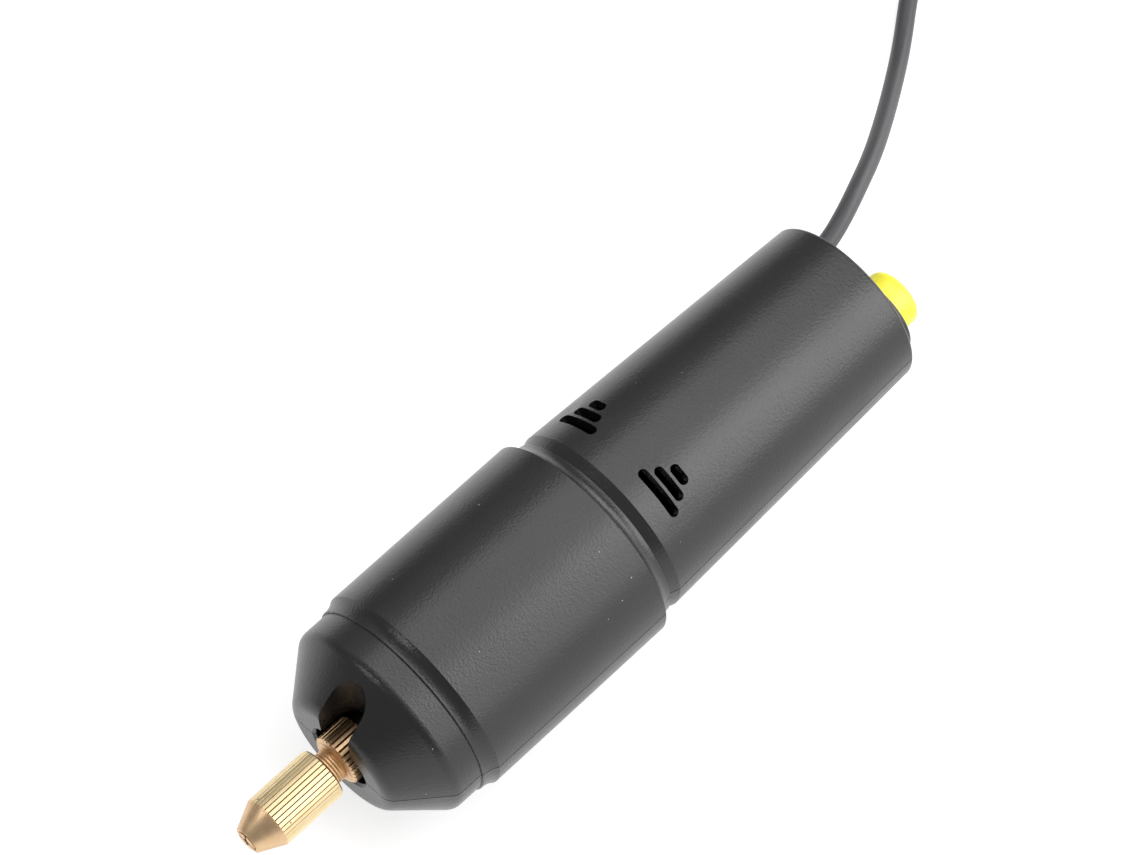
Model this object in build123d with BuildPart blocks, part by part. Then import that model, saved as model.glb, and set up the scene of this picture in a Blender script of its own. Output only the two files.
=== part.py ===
from build123d import *
import math
import os

# Pen drill: a small corded drill held like a thick pen.
# The tool axis runs along X with the chuck towards -X, and the barrel lies on the ground plane, z = 0.
# The body is two moulded shells that part on the horizontal plane through the tool axis.
# All lengths are in millimetres.

os.makedirs("parts", exist_ok=True)

# Housing: outside
barrel_diameter = 36.0
barrel_length = 39.65
barrel_shoulder_run = 2.5
barrel_shoulder_rise = 1.6
barrel_front_land = 0.4
barrel_front_run = 2.2
barrel_front_rise = 0.75
handle_length = 54.8
handle_step = 1.45
handle_rear_diameter = 29.1
handle_rim_round = 0.6
groove_width = 1.9
groove_depth = 0.6
groove_drop_run = 0.25
nose_step = 1.05
nose_band_length = 4.65
nose_length = 12.6
nose_face_diameter = 20.3
nose_corner_round = 2.2
nose_face_round = 2.8
mouth_diameter = 10.7
mouth_break = 0.4
wall = 2.0
seam_gap = 0.16

# Housing: chuck window and vents
window_width = 6.3
window_reach = 6.1
vent_width = 1.65
vent_pitch = 2.12
vent_first = 6.3
vent_angle = 31.8
vent_spans = (7.1, 4.5, 1.9)

# Housing: inside
rib_thickness = 1.5
bulkhead_thickness = 1.6
bulkhead_opening = 18.0
well_wall = 1.5
handle_rib_height = 1.4
handle_rib_share = (0.28, 0.66)
cradle_height = 2.05
post_diameter = 4.6
screw_post_diameter = 6.2

# Motor
can_rear_setback = 0.4
can_wall = 1.0
can_round = 1.6
can_boss_diameter = 10.0
can_boss_length = 2.0
can_screw_circle = 16.0
can_screw_hole = 2.6
can_vent_share = 0.632
can_vent_width = 2.4
can_vent_length = 6.0
bush_diameter = 5.6
bush_length = 3.2
magnet_thickness_share = 0.18
magnet_arc = 128.0
magnet_setback = 4.5
end_cap_thickness = 1.9
end_cap_boss_length = 2.6
terminal_width = 2.8
terminal_thickness = 0.5
terminal_reach = 6.0
terminal_offset = 7.5
brush_width = 2.2
brush_height = 2.6
brush_length = 3.6
brush_arm_thickness = 0.3

# Rotor
shaft_diameter = 2.3
air_gap = 0.65
core_setback = 7.0
core_gap = 1.2
core_hub_share = 0.33
pole_count = 5
pole_width_share = 0.24
slot_opening = 1.3
shoe_thickness_share = 0.15
end_turn_length = 2.8
commutator_diameter = 6.2
commutator_length = 5.0
commutator_slit = 0.4

# Chuck
collar_diameter = 8.6
collar_length = 5.2
collar_proud = 0.73
collar_bevel_run = 0.45
collar_bevel_rise = 0.4
collar_teeth = 31
chuck_hub_diameter = 6.4
chuck_hub_length = 2.6
neck_diameter = 5.45
neck_length = 7.4
neck_chamfer = 0.4
thread_pitch = 0.5
thread_depth = 0.24
nut_diameter = 8.55
nut_gap = 2.35
nut_knurl_length = 11.1
nut_cone_length = 4.1
nut_cone_front_step = 0.1
nut_tip_diameter = 4.6
nut_rear_chamfer = 0.3
nut_teeth = 36
knurl_depth = 0.26
nut_thread_depth = 6.4
nut_bore_diameter = 4.9
nut_mouth_diameter = 3.6
nut_seat_length = 2.2
collet_proud = 0.2
collet_bore = 1.2
collet_slits = 4
collet_slit_width = 0.35
collet_body_length = 6.5
collet_tail_diameter = 4.0
collet_tail_length = 5.0
collet_waist_depth = 0.35
collet_slit_share = 0.72
collet_socket_depth = 5.6
grub_diameter = 2.4
grub_hex = 1.2
grub_setback = 3.1

# Push switch
bezel_diameter = 14.6
bezel_thickness = 2.1
bezel_round = 0.5
switch_thread_diameter = 11.7
switch_thread_length = 12.0
switch_rear_diameter = 10.8
switch_rear_length = 6.0
switch_floor = 4.6
ring_nut_diameter = 14.2
ring_nut_thickness = 2.0
ring_nut_notches = 6
switch_room_share = 0.098
cap_diameter = 9.7
cap_proud = 6.8
cap_round = 1.5
cap_skirt = 1.2
stem_diameter = 3.2
spring_diameter = 6.4
spring_wire = 0.5
spring_turns = 4
pin_width = 2.4
pin_length = 4.0
pin_spacing = 5.0
button_travel = 2.2

# Screws
screw_head_diameter = 4.0
screw_head_height = 1.6
screw_shank_diameter = 1.9
screw_length = 8.5
screw_seat_depth = 3.6
screw_nose_setback = 3.0
screw_handle_share = 0.6
screw_inset = 4.25
screw_cross_width = 0.6
screw_cross_length = 2.4
screw_cross_depth = 0.9

# Lead
cord_diameter = 3.1
cord_last_run = 9.0
cord_inside = 11.0
stop_tie_width = 2.6
stop_tie_thickness = 1.1
stop_tie_head = 4.2
cord_room_share = 0.2
wire_diameter = 1.1
coil_start_x = 170.0
coil_start_side = 52.5
coil_pitch = 4.2
coil_outer_radius = 25.9
coil_inward_half_turns = 7
coil_outward_half_turns = 6
coil_end_turn = 30.0
coil_tie_width = 6.0
coil_tie_thickness = 0.7
coil_tie_ease = 0.3
tail_run = 7.0
plug_grip_width = 15.6
plug_grip_height = 8.0
plug_grip_length = 21.0
plug_grip_round = 1.8
plug_boot_length = 7.0
plug_boot_diameter = 5.6
plug_boot_ribs = 4
plug_boot_rib_depth = 0.5
plug_shoulder_length = 3.5
plug_window = 2.0
plug_window_setback = 5.0
plug_window_spacing = 5.5
plug_shell_width = 12.0
plug_shell_height = 4.5
plug_shell_length = 14.0
plug_shell_wall = 0.35
plug_tongue_thickness = 1.9
plug_tongue_length = 11.4
contact_width = 1.0
contact_thickness = 0.2
contact_pitch = 2.2
contact_length = 9.5

# Clearances
running_clearance = 0.02
slide_clearance = 0.08
part_clearance = 0.1
hole_clearance = 0.3
overrun = 1.0

# Stations along the tool axis, from the chuck's tip to the button
collet_tip_length = nut_gap + nut_knurl_length + nut_cone_length + collet_proud
front_reach = barrel_length + nose_length + collar_proud + collet_tip_length
rear_reach = handle_length + cap_proud
groove_x = (front_reach - rear_reach) / 2
step_x = groove_x - barrel_length
face_x = step_x - nose_length
rim_x = groove_x + handle_length
axis_height = barrel_diameter / 2
tool_plane = Plane.XY.offset(axis_height)
tool_axis = Axis((0, 0, axis_height), (1, 0, 0))


def across(x, side=0.0):
    """A plane square to the tool axis at x, its local Y along Z and its normal towards +X."""
    return Plane((x, side, axis_height), x_dir=(0, 1, 0), z_dir=(1, 0, 0))


def fillet_at(sketch, x, r, radius):
    """Round the corner of a profile sketch that lies nearest to the point x, r."""
    corner = sketch.vertices().sort_by_distance((x, r, axis_height))[0]
    fillet(corner, radius)


# Housing profile
barrel_r = barrel_diameter / 2
band_r = barrel_r - nose_step
handle_front_r = barrel_r - handle_step
handle_rear_r = handle_rear_diameter / 2
groove_r = handle_front_r - groove_depth
shoulder_r = barrel_r - barrel_shoulder_rise
shoulder_radius = (barrel_shoulder_run**2 + barrel_shoulder_rise**2) / (2 * barrel_shoulder_rise)
front_land_r = barrel_r - barrel_front_rise
front_shoulder_x = step_x + barrel_front_land + barrel_front_run
front_shoulder_radius = (barrel_front_run**2 + barrel_front_rise**2) / (2 * barrel_front_rise)
mouth_r = mouth_diameter / 2
rear_wall_x = rim_x - wall

# Rear face: the switch's ring nut and the lead's stop tie share the room across the handle's end
cord_r = cord_diameter / 2
ring_nut_r = ring_nut_diameter / 2
stop_tie_r = cord_r + stop_tie_thickness
rear_inner_r = handle_rear_r - wall
rear_room = 2 * (rear_inner_r - ring_nut_r - stop_tie_r)
switch_offset = rear_inner_r - ring_nut_r - switch_room_share * rear_room
cord_side = rear_inner_r - stop_tie_r - cord_room_share * rear_room

with BuildPart() as outside:
    with BuildSketch(tool_plane) as outside_profile:
        with BuildLine():
            Polyline(
                (step_x + barrel_front_land, front_land_r),
                (step_x, front_land_r),
                (step_x, band_r),
                (step_x - nose_band_length, band_r),
                (face_x, nose_face_diameter / 2),
                (face_x, 0),
                (rim_x, 0),
                (rim_x, handle_rear_r),
                (groove_x + groove_width, handle_front_r),
                (groove_x + groove_drop_run, groove_r),
                (groove_x, shoulder_r),
            )
            RadiusArc(
                (groove_x, shoulder_r),
                (groove_x - barrel_shoulder_run, barrel_r),
                shoulder_radius,
            )
            Line((groove_x - barrel_shoulder_run, barrel_r), (front_shoulder_x, barrel_r))
            RadiusArc(
                (front_shoulder_x, barrel_r),
                (step_x + barrel_front_land, front_land_r),
                front_shoulder_radius,
            )
        make_face()
        fillet_at(outside_profile, step_x, front_land_r, barrel_front_land / 2)
        fillet_at(outside_profile, step_x - nose_band_length, band_r, nose_corner_round)
        fillet_at(outside_profile, face_x, nose_face_diameter / 2, nose_face_round)
        fillet_at(outside_profile, rim_x, handle_rear_r, handle_rim_round)
    revolve(axis=tool_axis)

# Motor stations
bay_r = barrel_r - wall
cradle_r = bay_r - cradle_height
can_r = cradle_r - part_clearance
bulkhead_x = step_x - bulkhead_thickness / 2
can_front_x = bulkhead_x + bulkhead_thickness + part_clearance
can_rear_x = groove_x - can_rear_setback
boss_front_x = can_front_x - can_boss_length
front_cradle_x = can_front_x + can_boss_length
rear_cradle_x = can_rear_x - can_boss_length - rib_thickness
end_cap_rear_x = can_rear_x + end_cap_boss_length
bay_rear_x = end_cap_rear_x + wall

# Cavity: nose chamber, motor bay with two cradle ribs, and handle with two stiffening ribs
nose_slope = (band_r - nose_face_diameter / 2) / (nose_length - nose_band_length)
chamber_r = band_r - wall
chamber_front_x = face_x + wall
chamber_front_r = chamber_r - nose_slope * (nose_length - nose_band_length - wall)
handle_slope = (handle_front_r - handle_rear_r) / (handle_length - groove_width)


def handle_inside(x):
    """The handle's inner radius at x."""
    return handle_front_r - wall - handle_slope * (x - groove_x - groove_width)


def handle_rib(share):
    """Points of one low rib inside the handle, at a share of the handle's length."""
    x = groove_x + share * handle_length
    rib_r = handle_inside(x) - handle_rib_height
    return [
        (x, handle_inside(x)),
        (x, rib_r),
        (x + rib_thickness, rib_r),
        (x + rib_thickness, handle_inside(x + rib_thickness)),
    ]


# Chuck window: a round-ended slot from the face, and the frame that lines it down to the chuck's well
window_end_x = face_x + window_reach - window_width / 2


def window_outline(margin):
    """The window's outline in plan, widened all round by a margin."""
    with BuildSketch(tool_plane) as outline:
        with Locations((window_end_x, 0)):
            Circle(window_width / 2 + margin)
        with Locations((face_x + window_reach / 2 - window_width / 2, 0)):
            Rectangle(window_reach, window_width + 2 * margin)
    return outline.sketch


# Screws: one pair in the nose, one in the handle between the motor bay and the switch's pins
switch_front_x = rim_x - switch_thread_length
switch_end_x = switch_front_x - switch_rear_length
pin_end_x = switch_end_x - pin_length
screw_nose_x = step_x - screw_nose_setback
screw_handle_x = bay_rear_x + screw_handle_share * (pin_end_x - bay_rear_x)
screw_side = handle_rear_r - screw_inset
screw_places = [(x, side) for x in (screw_nose_x, screw_handle_x) for side in (-screw_side, screw_side)]

with BuildPart() as cavity:
    with BuildSketch(tool_plane):
        with BuildLine():
            Polyline(
                (chamber_front_x, 0),
                (chamber_front_x, chamber_front_r),
                (step_x - nose_band_length, chamber_r),
                (bulkhead_x, chamber_r),
                (bulkhead_x, bulkhead_opening / 2),
                (bulkhead_x + bulkhead_thickness, bulkhead_opening / 2),
                (bulkhead_x + bulkhead_thickness, bay_r),
                (front_cradle_x, bay_r),
                (front_cradle_x, cradle_r),
                (front_cradle_x + rib_thickness, cradle_r),
                (front_cradle_x + rib_thickness, bay_r),
                (rear_cradle_x, bay_r),
                (rear_cradle_x, cradle_r),
                (bay_rear_x, cradle_r),
                (bay_rear_x, handle_inside(bay_rear_x)),
                *handle_rib(handle_rib_share[0]),
                *handle_rib(handle_rib_share[1]),
                (rear_wall_x, handle_inside(rear_wall_x)),
                (rear_wall_x, 0),
                close=True,
            )
        make_face()
    revolve(axis=tool_axis)
    with BuildSketch(tool_plane):
        with Locations(*screw_places):
            Circle(post_diameter / 2)
    extrude(amount=barrel_r, mode=Mode.SUBTRACT)
    with BuildSketch(tool_plane):
        with Locations(*screw_places):
            Circle(screw_post_diameter / 2)
    extrude(amount=-barrel_r, mode=Mode.SUBTRACT)
    with BuildSketch(across(chamber_front_x)):
        Circle(mouth_r + well_wall)
    extrude(amount=bulkhead_x - chamber_front_x, mode=Mode.SUBTRACT)
    window_frame = window_outline(well_wall)
    extrude(window_frame, amount=barrel_r, mode=Mode.SUBTRACT)

# Blank of both shells: the chuck's well, switch hole and lead hole in the rear wall, four groups of vent slots
cord_hole_r = cord_r + part_clearance
switch_hole_r = switch_thread_diameter / 2 + part_clearance
with BuildPart() as housing:
    add(outside.part)
    add(cavity.part, mode=Mode.SUBTRACT)
    with BuildSketch(across(face_x - overrun)):
        Circle(mouth_r)
    extrude(amount=overrun + bulkhead_x - face_x, mode=Mode.SUBTRACT)
    with BuildSketch(across(face_x)):
        Circle(mouth_r + mouth_break)
    extrude(amount=mouth_break, taper=45, mode=Mode.SUBTRACT)
    with BuildSketch(across(rim_x + overrun)):
        with Locations((-switch_offset, 0)):
            Circle(switch_hole_r)
        with Locations((cord_side, 0)):
            Circle(cord_hole_r)
    extrude(amount=-(overrun + wall + overrun), mode=Mode.SUBTRACT)
    for angle in (-vent_angle, vent_angle, 180 - vent_angle, 180 + vent_angle):
        outwards = Vector(0, math.sin(math.radians(angle)), math.cos(math.radians(angle)))
        for row, span in enumerate(vent_spans):
            foot = Vector(groove_x + vent_first + row * vent_pitch, 0, axis_height)
            vent_plane = Plane(foot, x_dir=outwards.cross(Vector(1, 0, 0)), z_dir=outwards)
            with BuildSketch(vent_plane.offset(handle_front_r + overrun)):
                SlotCenterToCenter(span, vent_width)
            extrude(amount=-(overrun + wall + wall), mode=Mode.SUBTRACT)

# Top shell, with the chuck window and the blind holes that the screws cut their thread in
with BuildPart() as top_shell:
    add(housing.part)
    split(bisect_by=tool_plane.offset(seam_gap / 2), keep=Keep.TOP)
    with BuildSketch(tool_plane):
        with Locations(*screw_places):
            Circle(screw_shank_diameter / 2 + running_clearance)
    extrude(amount=screw_length - screw_seat_depth + overrun, mode=Mode.SUBTRACT)
    window_hole = window_outline(0)
    extrude(window_hole, amount=barrel_r, mode=Mode.SUBTRACT)
top_shell.part.label = "top_shell"
export_step(top_shell.part, "parts/top_shell.step")

# Bottom shell, with the stepped holes that take the screws
with BuildPart() as bottom_shell:
    add(housing.part)
    split(bisect_by=tool_plane.offset(-seam_gap / 2), keep=Keep.BOTTOM)
    with BuildSketch(tool_plane):
        with Locations(*screw_places):
            Circle(screw_shank_diameter / 2 + hole_clearance)
    extrude(amount=-barrel_r, mode=Mode.SUBTRACT)
    with BuildSketch(tool_plane.offset(-screw_seat_depth)):
        with Locations(*screw_places):
            Circle(screw_head_diameter / 2 + hole_clearance)
    extrude(amount=-barrel_r, mode=Mode.SUBTRACT)
bottom_shell.part.label = "bottom_shell"
export_step(bottom_shell.part, "parts/bottom_shell.step")

# Four self-tapping screws, heads down in the bottom shell
with BuildPart() as housing_screws:
    with BuildSketch(tool_plane.offset(-screw_seat_depth)):
        with Locations(*screw_places):
            Circle(screw_head_diameter / 2)
    extrude(amount=-screw_head_height)
    fillet(housing_screws.edges().filter_by(GeomType.CIRCLE).group_by(Axis.Z)[0], screw_head_height / 3)
    with BuildSketch(tool_plane.offset(-screw_seat_depth)):
        with Locations(*screw_places):
            Circle(screw_shank_diameter / 2)
    extrude(amount=screw_length)
    with BuildSketch(tool_plane.offset(-screw_seat_depth - screw_head_height)):
        with Locations(*screw_places):
            Rectangle(screw_cross_length, screw_cross_width)
            Rectangle(screw_cross_width, screw_cross_length)
    extrude(amount=screw_cross_depth, mode=Mode.SUBTRACT)
housing_screws.part.label = "housing_screws"
export_step(housing_screws.part, "parts/housing_screws.step")

# Motor can: a drawn steel cup, its boss and front bush towards the chuck
shaft_r = shaft_diameter / 2
bush_r = bush_diameter / 2
boss_r = can_boss_diameter / 2
can_inner_r = can_r - can_wall
with BuildPart() as motor_can:
    with BuildSketch(tool_plane) as can_profile:
        with BuildLine():
            Polyline(
                (can_rear_x, can_r),
                (can_front_x, can_r),
                (can_front_x, boss_r),
                (boss_front_x, boss_r),
                (boss_front_x, bush_r),
                (can_front_x + can_wall, bush_r),
                (can_front_x + can_wall, can_inner_r),
                (can_rear_x, can_inner_r),
                close=True,
            )
        make_face()
        fillet_at(can_profile, can_front_x, can_r, can_round)
        fillet_at(can_profile, can_front_x + can_wall, can_inner_r, can_round - can_wall)
    revolve(axis=tool_axis)
    with BuildSketch(across(can_front_x)):
        with PolarLocations(can_screw_circle / 2, 2):
            Circle(can_screw_hole / 2)
        with PolarLocations(can_vent_share * can_r, 2, start_angle=90, rotate=True):
            SlotOverall(can_vent_length, can_vent_width, rotation=90)
    extrude(amount=can_wall, mode=Mode.SUBTRACT)
motor_can.part.label = "motor_can"
export_step(motor_can.part, "parts/motor_can.step")

# Sintered bushes, front and rear
front_bush_x = boss_front_x
with BuildPart() as front_bush:
    with BuildSketch(across(front_bush_x)):
        Circle(bush_r)
        Circle(shaft_r + running_clearance, mode=Mode.SUBTRACT)
    extrude(amount=bush_length)
    chamfer(front_bush.edges().filter_by(GeomType.CIRCLE).sort_by(SortBy.RADIUS)[-2:], can_wall / 4)
front_bush.part.label = "front_bush"
export_step(front_bush.part, "parts/front_bush.step")

rear_bush_x = end_cap_rear_x - bush_length
with BuildPart() as rear_bush:
    with BuildSketch(across(rear_bush_x)):
        Circle(bush_r)
        Circle(shaft_r + running_clearance, mode=Mode.SUBTRACT)
    extrude(amount=bush_length)
    chamfer(rear_bush.edges().filter_by(GeomType.CIRCLE).sort_by(SortBy.RADIUS)[-2:], can_wall / 4)
rear_bush.part.label = "rear_bush"
export_step(rear_bush.part, "parts/rear_bush.step")

# Brush gear stations, measured forward from the end cap
end_cap_x = can_rear_x - end_cap_thickness
commutator_r = commutator_diameter / 2
commutator_x = end_cap_x - part_clearance - commutator_length
brush_x = commutator_x + commutator_length / 2

# Two arc magnets against the can's wall
magnet_x = can_front_x + magnet_setback
magnet_length = brush_x - brush_width / 2 - magnet_x
magnet_inner_r = can_inner_r - magnet_thickness_share * can_inner_r
with BuildPart() as motor_magnets:
    with BuildSketch(across(magnet_x)):
        Circle(can_inner_r)
        Circle(magnet_inner_r, mode=Mode.SUBTRACT)
        with PolarLocations(0, 2, start_angle=(180 - magnet_arc) / 2 + magnet_arc):
            Polygon(
                (0, 0),
                (barrel_r, 0),
                (barrel_r, barrel_r * math.tan(math.radians(180 - magnet_arc))),
                align=None,
                mode=Mode.SUBTRACT,
            )
    extrude(amount=magnet_length)
motor_magnets.part.label = "motor_magnets"
export_step(motor_magnets.part, "parts/motor_magnets.step")

# Moulded end cap that closes the can and carries the rear bush and the brush gear
with BuildPart() as motor_end_cap:
    with BuildSketch(across(end_cap_x)):
        Circle(can_inner_r)
    extrude(amount=end_cap_thickness)
    with BuildSketch(across(can_rear_x)):
        Circle(boss_r)
    extrude(amount=end_cap_boss_length)
    fillet(motor_end_cap.edges().group_by(Axis.X)[-1], end_cap_boss_length / 4)
    with BuildSketch(across(end_cap_x)):
        Circle(shaft_r + hole_clearance)
    extrude(amount=rear_bush_x - end_cap_x, mode=Mode.SUBTRACT)
    with BuildSketch(across(rear_bush_x)):
        Circle(bush_r)
    extrude(amount=bush_length, mode=Mode.SUBTRACT)
    with BuildSketch(across(end_cap_x)):
        with Locations((-terminal_offset, 0), (terminal_offset, 0)):
            Rectangle(terminal_width, terminal_thickness)
    extrude(amount=end_cap_thickness, mode=Mode.SUBTRACT)
motor_end_cap.part.label = "motor_end_cap"
export_step(motor_end_cap.part, "parts/motor_end_cap.step")

# Brass terminals through the end cap
terminal_end_x = can_rear_x + terminal_reach
with BuildPart() as motor_terminals:
    with BuildSketch(across(end_cap_x)):
        with Locations((-terminal_offset, 0), (terminal_offset, 0)):
            Rectangle(terminal_width, terminal_thickness)
    extrude(amount=terminal_end_x - end_cap_x)
motor_terminals.part.label = "motor_terminals"
export_step(motor_terminals.part, "parts/motor_terminals.step")

# Carbon brushes on the commutator, with the bent brass arms that press them
brush_side = commutator_r + part_clearance / 2
with BuildPart() as brushes:
    with BuildSketch(Plane.XZ.offset(-brush_side)):
        with Locations((brush_x, axis_height)):
            Rectangle(brush_width, brush_height)
    extrude(amount=-brush_length)
    mirror(about=Plane.XZ)
brushes.part.label = "brushes"
export_step(brushes.part, "parts/brushes.step")

arm_side = brush_side + brush_length
with BuildPart() as brush_springs:
    with BuildSketch(tool_plane.offset(-brush_height / 2)):
        with BuildLine():
            Polyline(
                (brush_x - brush_width / 2, arm_side),
                (brush_x + brush_width / 2, arm_side),
                (end_cap_x, terminal_offset + terminal_width / 4),
                (end_cap_x, terminal_offset + terminal_width / 4 + brush_arm_thickness),
                (brush_x + brush_width / 2, arm_side + brush_arm_thickness),
                (brush_x - brush_width / 2, arm_side + brush_arm_thickness),
                close=True,
            )
        make_face()
    extrude(amount=brush_height)
    mirror(about=Plane.XZ)
brush_springs.part.label = "brush_springs"
export_step(brush_springs.part, "parts/brush_springs.step")

# Motor shaft, from the rear bush to the chuck's bore
collar_front_x = face_x - collar_proud
collar_rear_x = collar_front_x + collar_length
hub_rear_x = collar_rear_x + chuck_hub_length
shaft_front_x = collar_front_x + grub_diameter / 2
shaft_rear_x = end_cap_rear_x
with BuildPart() as motor_shaft:
    with BuildSketch(across(shaft_front_x)):
        Circle(shaft_r)
    extrude(amount=shaft_rear_x - shaft_front_x)
    chamfer(motor_shaft.edges().filter_by(GeomType.CIRCLE), shaft_r / 5)
motor_shaft.part.label = "motor_shaft"
export_step(motor_shaft.part, "parts/motor_shaft.step")

# Laminated core with five T-shaped poles
core_x = can_front_x + core_setback
core_length = commutator_x - end_turn_length - core_gap - core_x
core_r = magnet_inner_r - air_gap
hub_r = core_hub_share * core_r
shoe_inner_r = core_r - shoe_thickness_share * core_r
pole_width = pole_width_share * core_r
pole_step = 360 / pole_count
with BuildPart() as rotor_core:
    with BuildSketch(across(core_x)):
        Circle(core_r)
        Circle(shoe_inner_r, mode=Mode.SUBTRACT)
        with PolarLocations((core_r + hub_r) / 2, pole_count, start_angle=pole_step / 2):
            Rectangle(core_r - hub_r, slot_opening, mode=Mode.SUBTRACT)
        Circle(hub_r)
        with PolarLocations((core_r + shoe_inner_r) / 4, pole_count):
            Rectangle((core_r + shoe_inner_r) / 2, pole_width)
        Circle(shaft_r, mode=Mode.SUBTRACT)
    extrude(amount=core_length)
rotor_core.part.label = "rotor_core"
export_step(rotor_core.part, "parts/rotor_core.step")

# Copper windings: bundles between the poles, joined by end turns in front of and behind the core
winding_outer_r = shoe_inner_r - part_clearance
winding_inner_r = hub_r + part_clearance
winding_round = (winding_outer_r - winding_inner_r) / 5
with BuildPart() as rotor_windings:
    with BuildSketch(across(core_x)):
        Circle(winding_outer_r)
        Circle(winding_inner_r, mode=Mode.SUBTRACT)
        with PolarLocations(core_r / 2, pole_count):
            Rectangle(core_r, pole_width + 2 * part_clearance, mode=Mode.SUBTRACT)
        with PolarLocations(core_r / 2, pole_count, start_angle=pole_step / 2):
            Rectangle(core_r, slot_opening, mode=Mode.SUBTRACT)
    extrude(amount=core_length)
    for ring_x, direction in ((core_x, -1), (core_x + core_length, 1)):
        with BuildSketch(across(ring_x)):
            Circle(winding_outer_r)
            Circle(winding_inner_r, mode=Mode.SUBTRACT)
        extrude(amount=direction * end_turn_length)
    fillet(rotor_windings.edges().group_by(Axis.X)[0], winding_round)
    fillet(rotor_windings.edges().group_by(Axis.X)[-1], winding_round)
rotor_windings.part.label = "rotor_windings"
export_step(rotor_windings.part, "parts/rotor_windings.step")

# Commutator: copper bars apart by narrow slits
with BuildPart() as commutator:
    with BuildSketch(across(commutator_x)):
        Circle(commutator_r)
        Circle(shaft_r, mode=Mode.SUBTRACT)
    extrude(amount=commutator_length)
    with BuildSketch(across(commutator_x)):
        with PolarLocations(commutator_r, pole_count, start_angle=pole_step / 2):
            Rectangle(commutator_slit * 2, commutator_slit)
    extrude(amount=commutator_length, mode=Mode.SUBTRACT)
commutator.part.label = "commutator"
export_step(commutator.part, "parts/commutator.step")


def knurl_grooves(x, radius, teeth):
    """The V grooves of a straight knurl round a cylinder of this radius, drawn at x."""
    half_pitch = math.pi * radius / teeth
    with BuildSketch(across(x)) as grooves:
        with PolarLocations(radius, teeth):
            Polygon(
                (-knurl_depth, 0),
                (knurl_depth, half_pitch * 2),
                (knurl_depth, -half_pitch * 2),
                align=None,
            )
    return grooves.sketch


# Chuck body: hub and knurled collar over the motor shaft, threaded neck with the collet's socket
collar_r = collar_diameter / 2
neck_r = neck_diameter / 2
neck_front_x = collar_front_x - neck_length
socket_r = collet_tail_diameter / 2 + slide_clearance
grub_x = collar_front_x + grub_setback
chuck_hub_r = chuck_hub_diameter / 2
thread_width = thread_pitch - 2 * running_clearance
thread_turns = int((neck_length - neck_chamfer) / thread_pitch)
thread_places = [(collar_front_x - thread_pitch * (turn + 1 / 2), neck_r) for turn in range(thread_turns)]
with BuildPart() as chuck_body:
    with BuildSketch(tool_plane) as chuck_profile:
        with BuildLine():
            Polyline(
                (hub_rear_x, 0),
                (hub_rear_x, chuck_hub_r),
                (collar_rear_x, chuck_hub_r),
                (collar_rear_x, collar_r),
                (collar_front_x + collar_bevel_run, collar_r),
                (collar_front_x, collar_r - collar_bevel_rise),
                (collar_front_x, neck_r),
                (neck_front_x + neck_chamfer, neck_r),
                (neck_front_x, neck_r - neck_chamfer),
                (neck_front_x, 0),
                close=True,
            )
        make_face()
        with Locations(*thread_places):
            Polygon(
                (-thread_width / 2, 0),
                (0, -thread_depth),
                (thread_width / 2, 0),
                align=None,
                mode=Mode.SUBTRACT,
            )
    revolve(axis=tool_axis)
    collar_grooves = knurl_grooves(collar_front_x, collar_r, collar_teeth)
    extrude(collar_grooves, amount=collar_length, mode=Mode.SUBTRACT)
    with BuildSketch(across(neck_front_x)):
        Circle(socket_r)
    extrude(amount=collet_socket_depth, mode=Mode.SUBTRACT)
    with BuildSketch(across(shaft_front_x - part_clearance)):
        Circle(shaft_r + running_clearance)
    extrude(amount=collar_length + chuck_hub_length, mode=Mode.SUBTRACT)
    with BuildSketch(Plane.XZ):
        with Locations((grub_x, axis_height)):
            Circle(grub_diameter / 2 + running_clearance)
    extrude(amount=collar_diameter, both=True, mode=Mode.SUBTRACT)
chuck_body.part.label = "chuck_body"
export_step(chuck_body.part, "parts/chuck_body.step")

# Two grub screws, one each side, that clamp the chuck on the shaft
grub_length = collar_r - knurl_depth - shaft_r - running_clearance
with BuildPart() as chuck_grub_screws:
    with BuildSketch(Plane.XZ.offset(-shaft_r)):
        with Locations((grub_x, axis_height)):
            Circle(grub_diameter / 2)
    extrude(amount=-grub_length)
    with BuildSketch(Plane.XZ.offset(-shaft_r - grub_length)):
        with Locations((grub_x, axis_height)):
            RegularPolygon(grub_hex / 2, 6)
    extrude(amount=grub_length / 2, mode=Mode.SUBTRACT)
    mirror(about=Plane.XZ)
chuck_grub_screws.part.label = "chuck_grub_screws"
export_step(chuck_grub_screws.part, "parts/chuck_grub_screws.step")

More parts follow.
